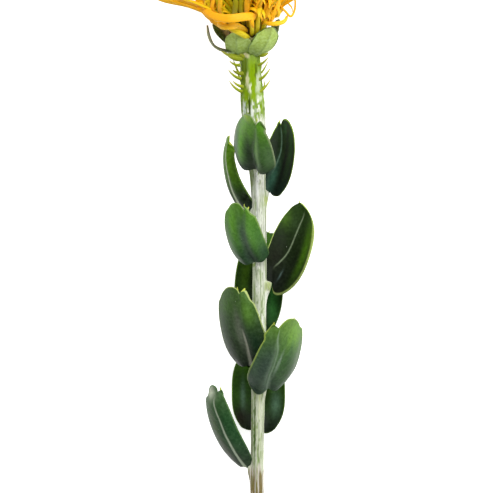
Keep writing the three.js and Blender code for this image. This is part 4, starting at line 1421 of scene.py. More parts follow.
@dataclass
class Leaf:
    """One thick leaf with two lobes at its foot and a notch with small teeth at its tip."""

    plan: LeafPlan
    stem: Stem
    rows: int = 120
    columns: int = 61
    rim: int = 3
    row_gap: float = 0.004
    row_crowding: float = 0.8
    column_crowding: float = 0.85
    lift: float = 0.1
    mid_thickness: float = 1.1
    edge_thickness: float = 0.62
    end_thickness: float = 0.4
    end_share: float = 0.03
    widest_at: float = 0.45
    flank_end: float = 0.93
    blade_end: float = 1.02
    foot_turn: float = 3.2
    narrowing: float = 2.7
    bluntness: float = 0.52
    lobe_turn: float = 2.67
    fold_power: float = 1.5
    groove_width: float = 0.35
    groove_flare: float = 0.5
    groove_depths: Spot = (0.2, 0.24)
    groove_end: Ramp = Ramp(0.85, 0.95)
    vein_step: float = 5.2
    vein_width: float = 0.4
    vein_depth: float = 0.05
    swell: float = 0.25
    swell_size: float = 8
    tooth_length: float = 1.15
    tooth_width: float = 0.34
    tooth_reach: tuple[float, ...] = (-1.1, -0.2, 0.45, 0.8, 1.0)
    tooth_widths: tuple[float, ...] = (0.4, 1.0, 0.75, 0.42, 0.08)
    tooth_colour: str = "b9c44e"
    noise: Noise = Noise(17)

    def __post_init__(self) -> None:
        """Works out the blade's middle line, its midrib and its outline."""
        plan = self.plan
        foot = self.stem.foot(plan, self.lift + self.mid_thickness / 2)
        tip = np.array(plan.tip, float)
        chord = tip - foot
        self.length = float(np.linalg.norm(chord))
        face = np.array(plan.face, float)
        self.face = unit(face - chord * (face @ chord) / self.length**2)
        side = np.cross(chord / self.length, self.face)
        bend = (foot + tip) / 2 - self.face * plan.bow + side * plan.sway
        self.spine = Arc(np.array([foot, bend, tip]))
        self.end = plan.end or self.usual_end()
        self.rib = flat_through(((0, 0),) + self.end.rib, 200)

    def usual_end(self) -> Tip:
        """A straight midrib and two even lobes, with a shallow notch on a large leaf."""
        far, wide = self.length, self.plan.width / 2
        large = wide > 8
        rise = ((0.62 * wide, far - 2.4), (0.3 * wide, far - (0.2 if large else 0.6)))
        fall = tuple((-a, b) for a, b in rise)
        rib = ((0, far / 2), (0, far - (0.9 if large else 0.1)))
        return Tip(rib, rise, fall, ((0, far - 0.6),) if large else ())

    def half(self, side: Any, v: Any) -> Array:
        """Half the blade's width in millimetres on a side."""
        before = np.clip((self.widest_at - v) / self.widest_at, 0, 1)
        after = np.clip((v - self.widest_at) / (self.blade_end - self.widest_at), 0, 1)
        low = 1 - (1 - self.plan.base) * before**self.foot_turn
        high = np.maximum(1 - after**self.narrowing, 0) ** self.bluntness
        shape = np.where(v < self.widest_at, low, high)
        return self.plan.width / 2 * shape * (1 + self.plan.skew * np.sign(side))

    def outline(self, side: int) -> Array:
        """Half of the outline, from the notch at the foot to the notch at the tip.

        Args:
            side: 1 or -1.

        Returns:
            Places across and along the blade, evenly spaced.
        """
        deep = self.plan.lobes[side > 0]
        crests = self.end.plus if side > 0 else self.end.minus
        x = np.linspace(0, 1, 9)[:, None]
        foot = np.hstack([side * x * self.half(side, 0.0), -deep * np.sin(self.lobe_turn * x**0.8)])
        last = min(self.flank_end, (crests[0][1] - 2.2) / self.length)
        v = np.linspace(0.05, last, 16)
        low = deep * (1 - v) ** 2 * math.sin(self.lobe_turn)
        flank = np.stack([side * self.half(side, v), v * self.length - low], 1)
        return flat_through(np.vstack([foot, flank, crests, self.end.rib[-1:]]), self.rows)

    def at(self, place: Array, lift: Any) -> Array:
        """Points of the blade.

        Args:
            place: Places across and along it.
            lift: Distances towards its upper face.

        Returns:
            The points.
        """
        plan = self.plan
        a, b = place[..., 0], place[..., 1]
        inside = np.clip(b / self.length, 0, 1)
        rib = np.interp(b, self.rib[:, 1], self.rib[:, 0])
        side = np.sign(a - rib)
        reach = self.half(side, np.clip(inside, 0, self.flank_end)) - side * rib
        x = np.clip(np.abs(a - rib) / np.maximum(reach, 1.0), 0, 1.15)
        along = self.spine.along(inside)
        face = unit(self.face - along * dot(self.face, along))
        face = turned(face, along, plan.twist * DEGREE * (inside - 0.5))
        hollow = plan.fold * x**self.fold_power - plan.bulge * (1.5 - inside) * np.sin(math.pi * x)
        rise = self.half(side, inside) * hollow + lift
        points = self.spine.at(inside) + along * (b - inside * self.length)[..., None]
        return points + np.cross(along, face) * a[..., None] + face * rise[..., None]

    def paint(self, place: Array, edge: Array, side: Array, distance: Array, own: float) -> Array:
        """Colours of one face of the blade.

        Args:
            place: Places across and along it.
            edge: Distances to the margin.
            side: Side of the midrib, 1 or -1.
            distance: Distances to the midrib.
            own: 1 on the face that the tone describes and 0 on the other one.

        Returns:
            A colour for each place.
        """
        tone = self.plan.tone
        v = place[..., 1] / self.length
        # From the foot to the tip: partly the leaf's own tone, partly painted shade that darkens
        # the foot.
        colour = mixed(painted(tone.foot, v.shape), tone.middle, smoothstep(v, 0.0, 0.5))
        colour = mixed(colour, tone.tip, smoothstep(v, 0.45, 1.0))
        # Patches: some are the leaf's own colour, many are painted highlights, painted reflections
        # and painted shade.
        for blot in tone.blots:
            colour = blot.on(colour, place[..., 0], place[..., 1], own=own)
        band = np.where(side > 0, tone.margins[1], tone.margins[0])
        rim = 1 - smoothstep(edge / (band * (0.6 + 0.8 * smoothstep(v, 0.2, 1.0))), 0.5, 1.3)
        colour = mixed(colour, tone.margin, rim * (0.35 + 0.55 * smoothstep(v, 0, 0.7)))
        # The midrib line: a pale midrib on most leaves, partly painted reflection along the fold on
        # some, and painted shade in the fold's groove where the tone makes it dark.
        wide = tone.rib_width * (1 + 1.3 * (1 - v) ** 2)
        shown = smoothstep(v, tone.rib_from, tone.rib_from + 0.15)
        shown = shown * (1 - smoothstep(v, tone.rib_to - 0.06, tone.rib_to + 0.06))
        return mixed(colour, tone.rib, np.exp(-((distance / wide) ** 4)) * tone.rib_share * shown)

    @staticmethod
    def share_out(line: Array, shares: Array) -> Array:
        """Places at shares of a flat line, one for each row."""
        steps = np.linspace(0, 1, len(line))
        return np.stack([np.interp(shares, steps, line[:, k]) for k in (0, 1)], -1)[:, None]

    def build(self, slot: str, finish: bpy.types.Material) -> None:
        """Makes the leaf.

        Args:
            slot: The record's material slot.
            finish: The leaf's material.
        """
        q = np.linspace(self.row_gap, 1 - self.row_gap, self.rows)
        crowded = q - self.row_crowding * np.sin(2 * math.pi * q) / (2 * math.pi)
        rib = self.share_out(self.rib, crowded)
        u = np.linspace(-1, 1, self.columns)
        x = np.abs(u)[None, :, None] ** self.column_crowding
        side = np.broadcast_to(np.where(u < 0, -1, 1), (self.rows, self.columns))
        minus, plus = (self.share_out(self.outline(s), q) for s in (-1, 1))
        line = np.where(side[..., None] < 0, minus, plus)
        place = rib + (line - rib) * x
        distance = np.linalg.norm(place - rib, axis=-1)
        edge = np.linalg.norm(place - line, axis=-1)
        v = place[..., 1] / self.length
        thickness = self.mid_thickness - self.edge_thickness
        thickness = self.edge_thickness + thickness * (1 - x[..., 0] ** 2)
        full = np.sqrt(smoothstep(q, 0, self.end_share) * smoothstep(1 - q, 0, self.end_share))
        thickness = thickness * (self.end_thickness + (1 - self.end_thickness) * full)[:, None]
        vein = self.veins(distance, side, v)
        wide = self.groove_width + self.groove_flare * (1 - v) ** 2
        groove = np.exp(-((distance / wide) ** 2)) * (1 - self.groove_end.of(v))
        swell = self.noise.at(self.at(place, 0.0), self.swell_size)
        middle = swell * self.swell * (1 - x[..., 0] ** 4) - self.vein_depth * vein
        upper = self.at(place, thickness / 2 + middle - self.groove_depths[0] * groove)
        outer = self.at(place, -thickness / 2 + middle - self.groove_depths[1] * groove)
        right = self.rounded(upper[:, -1], outer[:, -1], upper[:, -1] - upper[:, -4])
        left = self.rounded(outer[:, 0], upper[:, 0], upper[:, 0] - upper[:, 3])
        points = np.concatenate([upper, right, outer[:, ::-1], left], axis=1)
        points[..., 2] = np.maximum(points[..., 2], 0.0)
        own = float(self.plan.side is Side.UPPER)
        front = self.paint(place, edge, side, distance, own)
        back = self.paint(place, edge, side, distance, 1 - own)[:, ::-1]
        rims = [np.repeat(front[:, k : k + 1], self.rim, 1) for k in (self.columns - 1, 0)]
        tint = np.concatenate([front, rims[0], back, rims[1]], 1)
        blank = np.zeros((self.rows, self.rim))
        vein = np.concatenate([vein, blank, vein[:, ::-1], blank], 1)
        skin = Skin("tint", "vein")
        faces = grid(self.rows, points.shape[1], True) + self.caps()
        skin.shell(points, faces, tint=tint, vein=vein)
        for tooth in self.end.teeth:
            self.tooth(skin, np.array(tooth, float))
        dress(skin.piece(self.plan.name + "_blade"), finish, slot, self.plan.name)

    def caps(self) -> list[list[int]]:
        """Faces that close the blade at its first and last rows."""
        wide, rim = self.columns, self.rim
        faces = []
        for row, flip in ((0, 1), (self.rows - 1, -1)):
            base = row * (2 * wide + 2 * rim)
            partner = [base + wide + rim + (wide - 1 - c) for c in range(wide)]
            for c in range(wide - 1):
                faces.append([base + c + 1, base + c, partner[c], partner[c + 1]][::flip])
            right = [base + wide - 1, partner[-1]]
            right += [base + wide + k for k in reversed(range(rim))]
            left = [partner[0], base]
            left += [base + 2 * wide + rim + k for k in reversed(range(rim))]
            faces += [right[::flip], left[::flip]]
        return faces

    def rounded(self, first: Array, last: Array, out: Array) -> Array:
        """Points of a rounded margin between two faces.

        Args:
            first: The margin's points on the first face.
            last: The margin's points on the other face.
            out: Directions away from the blade.

        Returns:
            Points between the faces, bulging outwards.
        """
        middle = (first + last) / 2
        arm = (first - last) / 2
        reach = unit(out) * np.linalg.norm(arm, axis=-1, keepdims=True)
        angle = np.linspace(0, math.pi, self.rim + 2)[1:-1]
        return np.stack([middle + arm * math.cos(a) + reach * math.sin(a) for a in angle], axis=1)

    def veins(self, distance: Array, side: Array, v: Array) -> Array:
        """Side veins, from 0 between them to 1 on them."""
        bent = v * self.length - 0.85 * distance - 0.05 * distance**2
        phase = bent / self.vein_step + 0.25 * side
        near = np.abs((phase % 1.0) - 0.5) * self.vein_step
        fade = smoothstep(distance, 0.6, 2.0) * (1 - smoothstep(distance, 6.5, 10))
        return np.exp(-((near / self.vein_width) ** 2)) * fade * (1 - smoothstep(v, 0.75, 0.95))

    def tooth(self, skin: Skin, place: Array) -> None:
        """Adds a callous tooth to the margin.

        Args:
            skin: The leaf's skin.
            place: Its place across and along the blade.
        """
        out = place - np.array([self.rib[-1, 0], 0.72 * self.length])
        out = out / np.linalg.norm(out)
        cross = np.array([out[1], -out[0]])
        reach = np.array(self.tooth_reach)[:, None, None] * self.tooth_length
        wide = np.array(self.tooth_widths)[:, None] * self.tooth_width
        angle = around(8)
        spots = place + out * reach + cross * (wide * np.cos(angle))[..., None]
        rings = self.at(spots, wide * 0.8 * np.sin(angle))
        rings[..., 2] = np.maximum(rings[..., 2], 0.0)
        skin.loft(rings, tint=srgb(self.tooth_colour)[:3], vein=0.0)


# The head


@dataclass(frozen=True)
class Socket:
    """The head's own axes and the cone that the florets stand on."""

    stem: Stem
    x: float = 1.6
    y: float = 101
    yaw: float = 8
    pitch: float = 8
    low_ring: float = 7
    cone_height: float = 15
    cone_radius: float = 8.6

    def axes(self) -> tuple[Array, Array, Array]:
        """The head's outward, right and up directions."""
        yaw, pitch = self.yaw * DEGREE, self.pitch * DEGREE
        flat = math.cos(pitch)
        out = np.array([-math.sin(yaw) * flat, math.cos(yaw) * flat, math.sin(pitch)])
        right = np.array([math.cos(yaw), math.sin(yaw), 0])
        return out, right, np.cross(right, out)

    def way(self, polar: Any, azimuth: Any) -> Array:
        """Unit vectors at angles from the head's axis, towards azimuths."""
        out, right, up = self.axes()
        polar, azimuth = np.asarray(polar, float)[..., None], np.asarray(azimuth, float)[..., None]
        side = right * np.cos(azimuth) + up * np.sin(azimuth)
        return out * np.cos(polar) + side * np.sin(polar)

    def point(self, height: Any, distance: Any, azimuth: Any) -> Array:
        """Points at heights along the head's axis and distances from it."""
        height, distance = np.asarray(height, float), np.asarray(distance, float)
        start = np.array([self.x, self.y, self.stem.height(self.y)])
        out = self.way(math.pi / 2, azimuth)
        return start + self.axes()[0] * height[..., None] + out * distance[..., None]

    def foot(self, k: Any, azimuth: Any) -> Array:
        """Where a floret stands: k is 0 at the top of the cone and 1 at its lowest ring."""
        lean = np.asarray(k, float) * math.pi / 2
        height = self.low_ring + self.cone_height * np.cos(lean)
        return self.point(height, self.cone_radius * np.sin(lean), azimuth)


@dataclass(frozen=True)
class FloretFinish:
    """Waxy yellow to orange, from the foot of a floret to its end."""

    name: str
    foot: str
    middle: str
    end: str
    other: str
    roughness: float = 0.42
    streak_size: float = 1.2
    fine_size: float = 0.3
    rise: Ramp = Ramp(0.0, 0.4)
    fall: Ramp = Ramp(0.45, 1.0)
    others: Ramp = Ramp(0.55, 1.0, 0.8)
    depth: float = 0.12
    shine: float = 0.25

    def material(self) -> bpy.types.Material:
        """Builds the material."""
        s = Shader(self.name)
        streaks = s.noise(self.streak_size, 3, 3.0)
        along = s.mark("along") + 0.25 * (streaks - 0.5)
        low = s.blend(srgb(self.foot), srgb(self.middle), s.ramp(along, self.rise))
        colour = s.blend(low, srgb(self.end), s.ramp(along, self.fall))
        tone = s.mark("tone") + 0.3 * (streaks - 0.5)
        colour = s.blend(colour, srgb(self.other), s.ramp(tone, self.others))
        colour = s.scaled(colour, 0.84 + 0.28 * streaks)
        fine = s.noise(self.fine_size, 2, 7.0)
        relief = s.bump(fine + streaks, self.depth)
        roughness = self.roughness + 0.2 * fine
        return s.finish(colour, roughness, relief, Specular_IOR_Level=self.shine)


@dataclass(frozen=True)
class PlainFinish:
    """One colour broken up by blots and a fine relief."""

    name: str
    light: str
    dark: str
    size: float
    depth: float
    roughness: float = 0.7
    shine: float = 0.35
    lighter: Ramp = Ramp(0.3, 0.7)

    def material(self) -> bpy.types.Material:
        """Builds the material."""
        s = Shader(self.name)
        blots = s.noise(self.size, 4, 4.0, 0.6)
        colour = s.blend(srgb(self.dark), srgb(self.light), s.ramp(blots, self.lighter))
        relief = s.bump(blots, self.depth)
        roughness = self.roughness + 0.2 * blots
        return s.finish(colour, roughness, relief, Specular_IOR_Level=self.shine)


@dataclass(frozen=True)
class Strand:
    """A strand with a place of its own at the front of the head.

    The higher its tone, the more it has of its finish's other colour.
    """

    width: float
    thickness: float
    path: tuple[Place, ...]
    tone: float
    tube: bool = False


FRONT_STRANDS = (
    Strand(3, 1.8, ((1.4, 102.8, 47.5), (-0.6, 104.3, 52.8), (-4, 106, 57), (-8, 107.6, 60)), 0.3,
        True),
    Strand(2.3, 1.8, ((2.4, 104.5, 46.6), (2.8, 106.6, 52.6), (2.4, 111, 58.2), (1.4, 116, 61)),
        0.2, True),
    Strand(2.4, 1.8, ((4.4, 105, 46.2), (5.4, 107.6, 52), (5.7, 112, 57.4), (6.6, 118, 60)), 0.3,
        True),
    Strand(2.2, 1.8, ((6.2, 105, 45), (8, 108, 50.6), (9.6, 112.4, 56), (10.6, 118, 58.4)), 0.4,
        True),
    Strand(2.4, 1.6, ((-4.6, 104.6, 45.5), (-7.4, 107.4, 48.8), (-11.4, 110.4, 51.6),
        (-16, 114.6, 53.4), (-19.6, 119.6, 54)), 0.5),
    Strand(4.3, 0.9, ((4.4, 112.4, 58), (3.2, 113.4, 64.6), (-1, 113.2, 68.4), (-7.4, 112.3, 69.4),
        (-12.6, 112.7, 67), (-17.6, 114.4, 63.4), (-21.8, 117.8, 58.5)), 0.3),
    Strand(3.2, 1, ((0.4, 106.2, 50.6), (-2.4, 108.2, 57), (-5.2, 108.9, 62.4), (-8.4, 108.5, 64.8),
        (-11.6, 108.4, 63.4), (-14.4, 110.4, 59)), 0.85),
    Strand(3.2, 0.8, ((-9.6, 109, 50), (-12.8, 109.4, 53.4), (-16.4, 112.2, 55), (-20.2, 115.8, 54),
        (-23.4, 119.2, 51.6), (-24.6, 123.4, 48)), 0.6),
    Strand(2.3, 0.8, ((7.4, 110.4, 52), (10.6, 110.2, 58.2), (15, 110.2, 59), (18.6, 111.4, 56),
        (20.4, 114.4, 51.6)), 0.8),
    Strand(1.3, 0.9, ((12.6, 119, 48), (15.4, 120.2, 51.6), (18.8, 116.9, 53.4), (21.8, 114, 52.8),
        (23.6, 116.4, 50.4), (24.2, 121, 49.4), (23.4, 126, 48.6)), 0.2),
    Strand(2.8, 1.6, ((-3.4, 108, 48), (-6, 113.6, 58.6), (-5.4, 119.4, 64.4), (-5.6, 127.6, 66.6)),
        1, True),
    Strand(2.6, 1.6, ((-1, 109.6, 48.4), (-2.6, 115, 59.6), (-2.8, 121.6, 64.6), (-3, 129, 66.6)),
        0.9, True),
    Strand(2.4, 1.6, ((-6, 109, 46.6), (-12, 114.4, 56.4), (-14, 119.6, 60), (-14.6, 128, 62)), 0.8,
        True),
    Strand(2.4, 1.4, ((-7, 109, 46.6), (-15, 114.4, 54.4), (-18.6, 119.6, 57), (-19.4, 128, 58)),
        0.4, True),
    Strand(2.6, 1, ((0.6, 112, 56), (0.2, 117, 64), (0.4, 122, 67), (2.6, 130, 67)), 0.3),
    Strand(2.8, 1, ((4, 112, 54), (5.2, 116.6, 62.4), (7, 121.4, 65), (7.6, 130, 65)), 0.6),
    Strand(2.6, 1, ((8, 110, 50), (9.6, 114, 59), (12, 119.6, 61), (14.4, 129, 60)), 0.4),
    Strand(2.2, 1, ((9, 110, 50), (12.4, 113, 57), (14.6, 117, 58.4), (16.6, 122, 57),
        (17, 129, 56)), 0.7),
    Strand(2.4, 0.9, ((-12, 113, 54), (-13.2, 117.6, 61), (-12.8, 122, 64), (-12.8, 130, 65)), 0.9),
    Strand(2.2, 0.9, ((-14, 114, 54), (-17, 117.6, 59), (-16.6, 122, 61), (-18, 130, 60)), 0.2),
)

# Paths of the pins at the left, and of two that lie on the surface.
SIDE_STYLES = (
    ((-6.6, 107, 43.5), (-16, 115.8, 48.4), (-30, 120.6, 50.6), (-43, 123.8, 51),
        (-52.4, 130.6, 50)),
    ((-6, 108.5, 45.5), (-16, 117.8, 52.4), (-30, 122.2, 55.6), (-43, 125.4, 56.6),
        (-51, 134, 55.6)),
    ((-7, 106.5, 41), (-17, 115.8, 43.4), (-30, 119.4, 44.6), (-43, 122.4, 44.4),
        (-52.6, 128.2, 43)),
    ((-6.4, 107, 42.5), (-16.6, 116, 46), (-30, 120, 47.4), (-43, 123.2, 47.4), (-52.6, 130.2, 46)),
    ((-6, 108, 44.5), (-16.4, 117, 51), (-30, 121.4, 53.2), (-43, 124.8, 53.6), (-52, 132, 52.4)),
    ((-6, 108.5, 46), (-17, 117.6, 55), (-30, 121.6, 59.6), (-42, 126, 61.6), (-50, 134, 61)),
    ((-3, 110, 36), (-9.6, 116.6, 26.5), (-17, 120.6, 13.5), (-22.6, 122.8, 2.4), (-26.4, 127, -5)),
    ((5, 110.5, 36), (13.4, 117, 27.5), (19.6, 123, 14.5), (24.5, 126, 2.8), (27, 130, -5)),
)

# The cone's outline: heights along the head's axis and distances from it.
CONE = ((1, 6.8, 0), (5, 9, 0), (10, 9.3, 0), (17, 7.2, 0), (22, 4.2, 0), (25, 0.6, 0))


@dataclass(frozen=True)
class Clearing:
    """Where no strand of the head shows when it is seen from above."""

    # The head's lower edge in the picture, at the left and at the right of the stem.
    left: Spots = (
        (-60, 124.2), (-44.2, 123.4), (-33, 121), (-23.8, 119), (-18, 113), (-12.2, 108.4),
    )
    right: Spots = (
        (8, 108.6), (9.8, 109), (18.8, 109.4), (21.4, 114), (23.4, 116), (24.6, 123.4), (60, 124.4),
    )
    # Clear ovals: middle and half sizes.
    gaps: tuple[tuple[float, float, float, float], ...] = (
        (20.4, 119.4, 1.9, 3), (18, 114.6, 1.8, 2),
    )
    # Left and right side, far end and lowest height of the room over the front tubes.
    front: tuple[float, float, float, float] = (-11.5, 0.5, 125, 54)
    foot: Spot = (1.6, 104)
    foot_radius: float = 9
    camera_height: float = 3000

    def holds(self, line: Array) -> bool:
        """Whether a line of points stays out of the clear parts."""
        near = self.camera_height / (self.camera_height - line[:, 2])
        x, y = line[:, 0] * near, line[:, 1] * near
        away = np.linalg.norm(line[:, :2] - np.array(self.foot), axis=1) > self.foot_radius
        left, right = np.array(self.left).T, np.array(self.right).T
        low = np.where(x < 0, np.interp(x, *left), np.interp(x, *right))
        low = np.where((x > left[0, -1]) & (x < right[0, 0]), 0, low)
        inside = np.zeros(len(x), bool)
        for a, b, wide, tall in self.gaps:
            inside |= ((x - a) / wide) ** 2 + ((y - b) / tall) ** 2 < 1
        return not np.any(inside | (away & (y < low)))

    def crowds(self, line: Array) -> bool:
        """Whether a line of points covers the tubes at the front."""
        left, right, far, high = self.front
        x, y, z = line.T
        return bool(np.any((x > left) & (x < right) & (y < far) & (z > high)))

    def allows(self, line: Array) -> bool:
        """Whether a line of points may stand in the head."""
        return self.holds(line) and not self.crowds(line)


@dataclass
class Head:
    """The bloom: styles with knobs, tubes at their feet, rolled ribbons and the cone under them."""

    socket: Socket
    sweep: Sweep
    clearing: Clearing = Clearing()
    seed: int = 23
    styles: int = 176
    style_points: int = 22
    length: float = 51
    length_spread: float = 0.06
    widest: float = 74
    shares: Place = (0.55, 1.18, 0.8)
    jitter: float = 3
    style_rest: Spot = (0.75, 5)
    radius: float = 0.58
    foot_radius: float = 1.15
    thinning: float = 0.3
    knob_sink: float = 0.6
    tube_radius: float = 1.25
    ribbons: int = 300
    ribbon_rings: Spot = (0.1, 0.86)
    ribbon_start: float = 1.1
    ribbon_jitter: float = 0.2
    ribbon_length: float = 26
    ribbon_length_spread: float = 0.16
    ribbon_width: float = 1.25
    ribbon_sink: float = 2
    ribbon_sway: float = 0.35
    ribbon_rest: Spot = (1.0, 4)
    straight: float = 0.42
    turns: Spot = (110, 330)
    lean: float = 46
    side_lean: float = 50
    steps: int = 16
    front_steps: int = 40
    front_sides: int = 14

    def style_lines(self) -> list[Array]:
        """Middle lines of all styles."""
        rng = np.random.default_rng(self.seed)
        widest, wobble = self.widest * DEGREE, self.jitter * DEGREE
        lines = []
        for number in range(self.styles):
            share = (number + 0.5) / self.styles
            polar = math.acos(1 - share * (1 - math.cos(widest)))
            azimuth = number * GOLDEN_ANGLE + wobble * rng.uniform(-1, 1)
            leg = self.length * (1 + self.length_spread * rng.uniform(-1, 1)) / 3
            bends = [self.socket.foot(polar / widest, azimuth)]
            for part in self.shares:
                way = self.socket.way(part * polar + wobble * rng.uniform(-1, 1), azimuth)
                bends.append(bends[-1] + way * leg)
            lines.append(Arc(np.array(bends)).at(np.linspace(0, 1, self.style_points)))
        lines = [line for line in lines if self.clearing.allows(line)]
        lines += [through(path, self.style_points) for path in SIDE_STYLES]
        return [settled(line, *self.style_rest) for line in lines]

    def build_styles(self) -> None:
        """Makes the styles, the tubes at their feet and the knobs at their tips."""
        rng = np.random.default_rng(self.seed + 1)
        styles, tubes, knobs = Guides(), Guides(), Guides()
        for line in self.style_lines():
            t = np.linspace(0, 1, len(line))
            thick = self.radius * (self.foot_radius - self.thinning * t) * MM
            facing = self.facing(line)
            tone = rng.uniform(0, 1)
            styles.add(line, radius=thick, facing=facing, along=t, tone=tone)
            heading = tangents(line)[-1:]
            knobs.add(line[-1:] - heading * self.knob_sink, heading=heading, along=1.0, tone=tone)
            low = line[: len(line) // 3]
            s = np.linspace(0, 1, len(low))
            swell = (1.55 - 0.55 * s + 0.25 * np.sin(math.pi * s)) * self.radius * MM
            wide = swell * self.tube_radius
            tubes.add(low, radius=wide, facing=facing[: len(low)], along=s, tone=tone)
        gold = FloretFinish("style_gold", "c8b010", "f0b60a", "f2b40c", "ecc410")
        self.sweep.grow(styles, "styles", gold, "floret", "flower_head", Sides=8)
        olive = FloretFinish("tube_olive", "a09004", "cbbc0e", "e0c412", "a6a004")
        self.sweep.grow(tubes, "floret_tubes", olive, "floret", "flower_head", Sides=10)
        pollen = FloretFinish("knob_pollen", "e8c23c", "f3cf58", "f8dc7c", "f0c850", 0.55)
        sizes = {"Width": 0.00095, "Length": 0.0021}
        Knobs().grow(knobs, "style_knobs", pollen, "floret", "flower_head", **sizes)

    def facing(self, line: Array) -> Array:
        """Unit vectors across a line, away from the head's middle."""
        along = tangents(line)
        away = line - self.socket.point(14, 0, 0)
        return unit(away - along * dot(away, along))

    def ribbon(self, number: int, rng: np.random.Generator) -> tuple[Array, Array, float]:
        """One ribbon that rolls outwards.

        Args:
            number: Its number, from the top of the cone down.
            rng: Where its chances come from.

        Returns:
            Its middle line, unit vectors across its face and its tone.
        """
        ring, rings = self.ribbon_rings
        k = ring + rings * ((number + 0.5) / self.ribbons) ** 0.75
        azimuth = number * GOLDEN_ANGLE + self.ribbon_start
        azimuth = azimuth + self.ribbon_jitter * rng.uniform(-1, 1)
        start = self.socket.way(k * self.lean * DEGREE, azimuth)
        outward = self.socket.way(k * self.lean * DEGREE + math.pi / 2, azimuth)
        outward = turned(outward, start, self.side_lean * DEGREE * rng.uniform(-1, 1))
        across = np.cross(start, outward)
        length = self.ribbon_length * (1 + self.ribbon_length_spread * rng.uniform(-1, 1))
        turn = rng.uniform(*self.turns) * DEGREE
        sway = rng.uniform(-self.ribbon_sway, self.ribbon_sway)
        point, line, facing = self.socket.foot(k, azimuth) - start * self.ribbon_sink, [], []
        for i in range(self.steps + 1):
            s = i / self.steps
            rolled = max(0.0, (s - self.straight) / (1 - self.straight))
            heading = 0.25 * s + turn * rolled**1.2
            along = start * math.cos(heading) + outward * math.sin(heading)
            along = unit(along + across * sway * rolled)
            line.append(point)
            facing.append(unit(np.cross(across, along)))
            point = point + along * (length / self.steps)
        line = settled(np.array(line), *self.ribbon_rest)
        return line, np.array(facing), rng.uniform(0, 1)

    def build_ribbons(self) -> None:
        """Makes the rolled ribbons."""
        rng = np.random.default_rng(self.seed + 2)
        guides = Guides()
        s = np.linspace(0, 1, self.steps + 1)
        wide = (0.75 + 0.9 * s * (1 - s)) * (1 - 0.75 * smoothstep(s, 0.86, 1.0))
        wide = self.ribbon_width * wide * MM
        for number in range(self.ribbons):
            line, facing, tone = self.ribbon(number, rng)
            if self.clearing.allows(line):
                guides.add(line, radius=wide, facing=facing, along=s, tone=tone)
        orange = FloretFinish("ribbon_orange", "c8b80a", "f2c40e", "f4b00c", "dcc80c")
        sizes = {"Sides": 8, "Flatness": 0.3, "Spread": 0.15}
        self.sweep.grow(guides, "ribbons", orange, "floret", "flower_head", **sizes)

    def build_front(self) -> None:
        """Makes the strands at the front of the head's foot."""
        skins = {True: Skin("along", "tone"), False: Skin("along", "tone")}
        t = np.linspace(0, 1, self.front_steps)
        ends = np.sqrt(np.clip(14 * np.minimum(t, 1 - t), 0.05, 1))
        full = (0.7 + 0.3 * np.sin(math.pi * (t * 0.9 + 0.08))) * ends
        for strand in FRONT_STRANDS:
            line = through(strand.path, self.front_steps)
            along = tangents(line)
            normal = self.facing(line) + np.array([0, 0.2, 0.9])
            normal = unit(normal - along * dot(normal, along))
            wide, thick = strand.width / 2 * full, strand.thickness / 2 * ends
            across = np.cross(along, normal)
            rings = oval_rings(line, across, normal, wide, thick, self.front_sides)
            share = np.broadcast_to(t[:, None], rings.shape[:2])
            skins[strand.tube].loft(rings, along=share, tone=strand.tone)
        for tube, name, codes in (
            (False, "front_ribbon", ("eab010", "f6b214", "f4aa12", "fcc81c")),
            (True, "front_tube", ("dcc40e", "eed81a", "e6c812", "7c7e02")),
        ):
            material = FloretFinish(name, *codes).material()
            dress(skins[tube].piece(name + "s"), material, "floret", "flower_head")

    def build_cone(self) -> None:
        """Makes the cone under the florets."""
        profile = through(CONE, 40)
        height, distance = profile[:, :1], profile[:, 1:2]
        azimuth = around(72)[None]
        knobbly = 0.35 * np.cos(18 * azimuth) * np.cos(height * 2.4)
        rings = self.socket.point(height + 0 * azimuth, distance + knobbly, azimuth)
        skin = Skin()
        skin.loft(rings)
        dark = PlainFinish("cone_brown", "6a5212", "33220a", 1.2, 0.4)
        dress(skin.piece("floret_cone"), dark.material(), "floret", "flower_head")

    def build(self) -> None:
        """Makes the whole bloom."""
        self.build_cone()
        self.build_styles()
        self.build_ribbons()
        self.build_front()


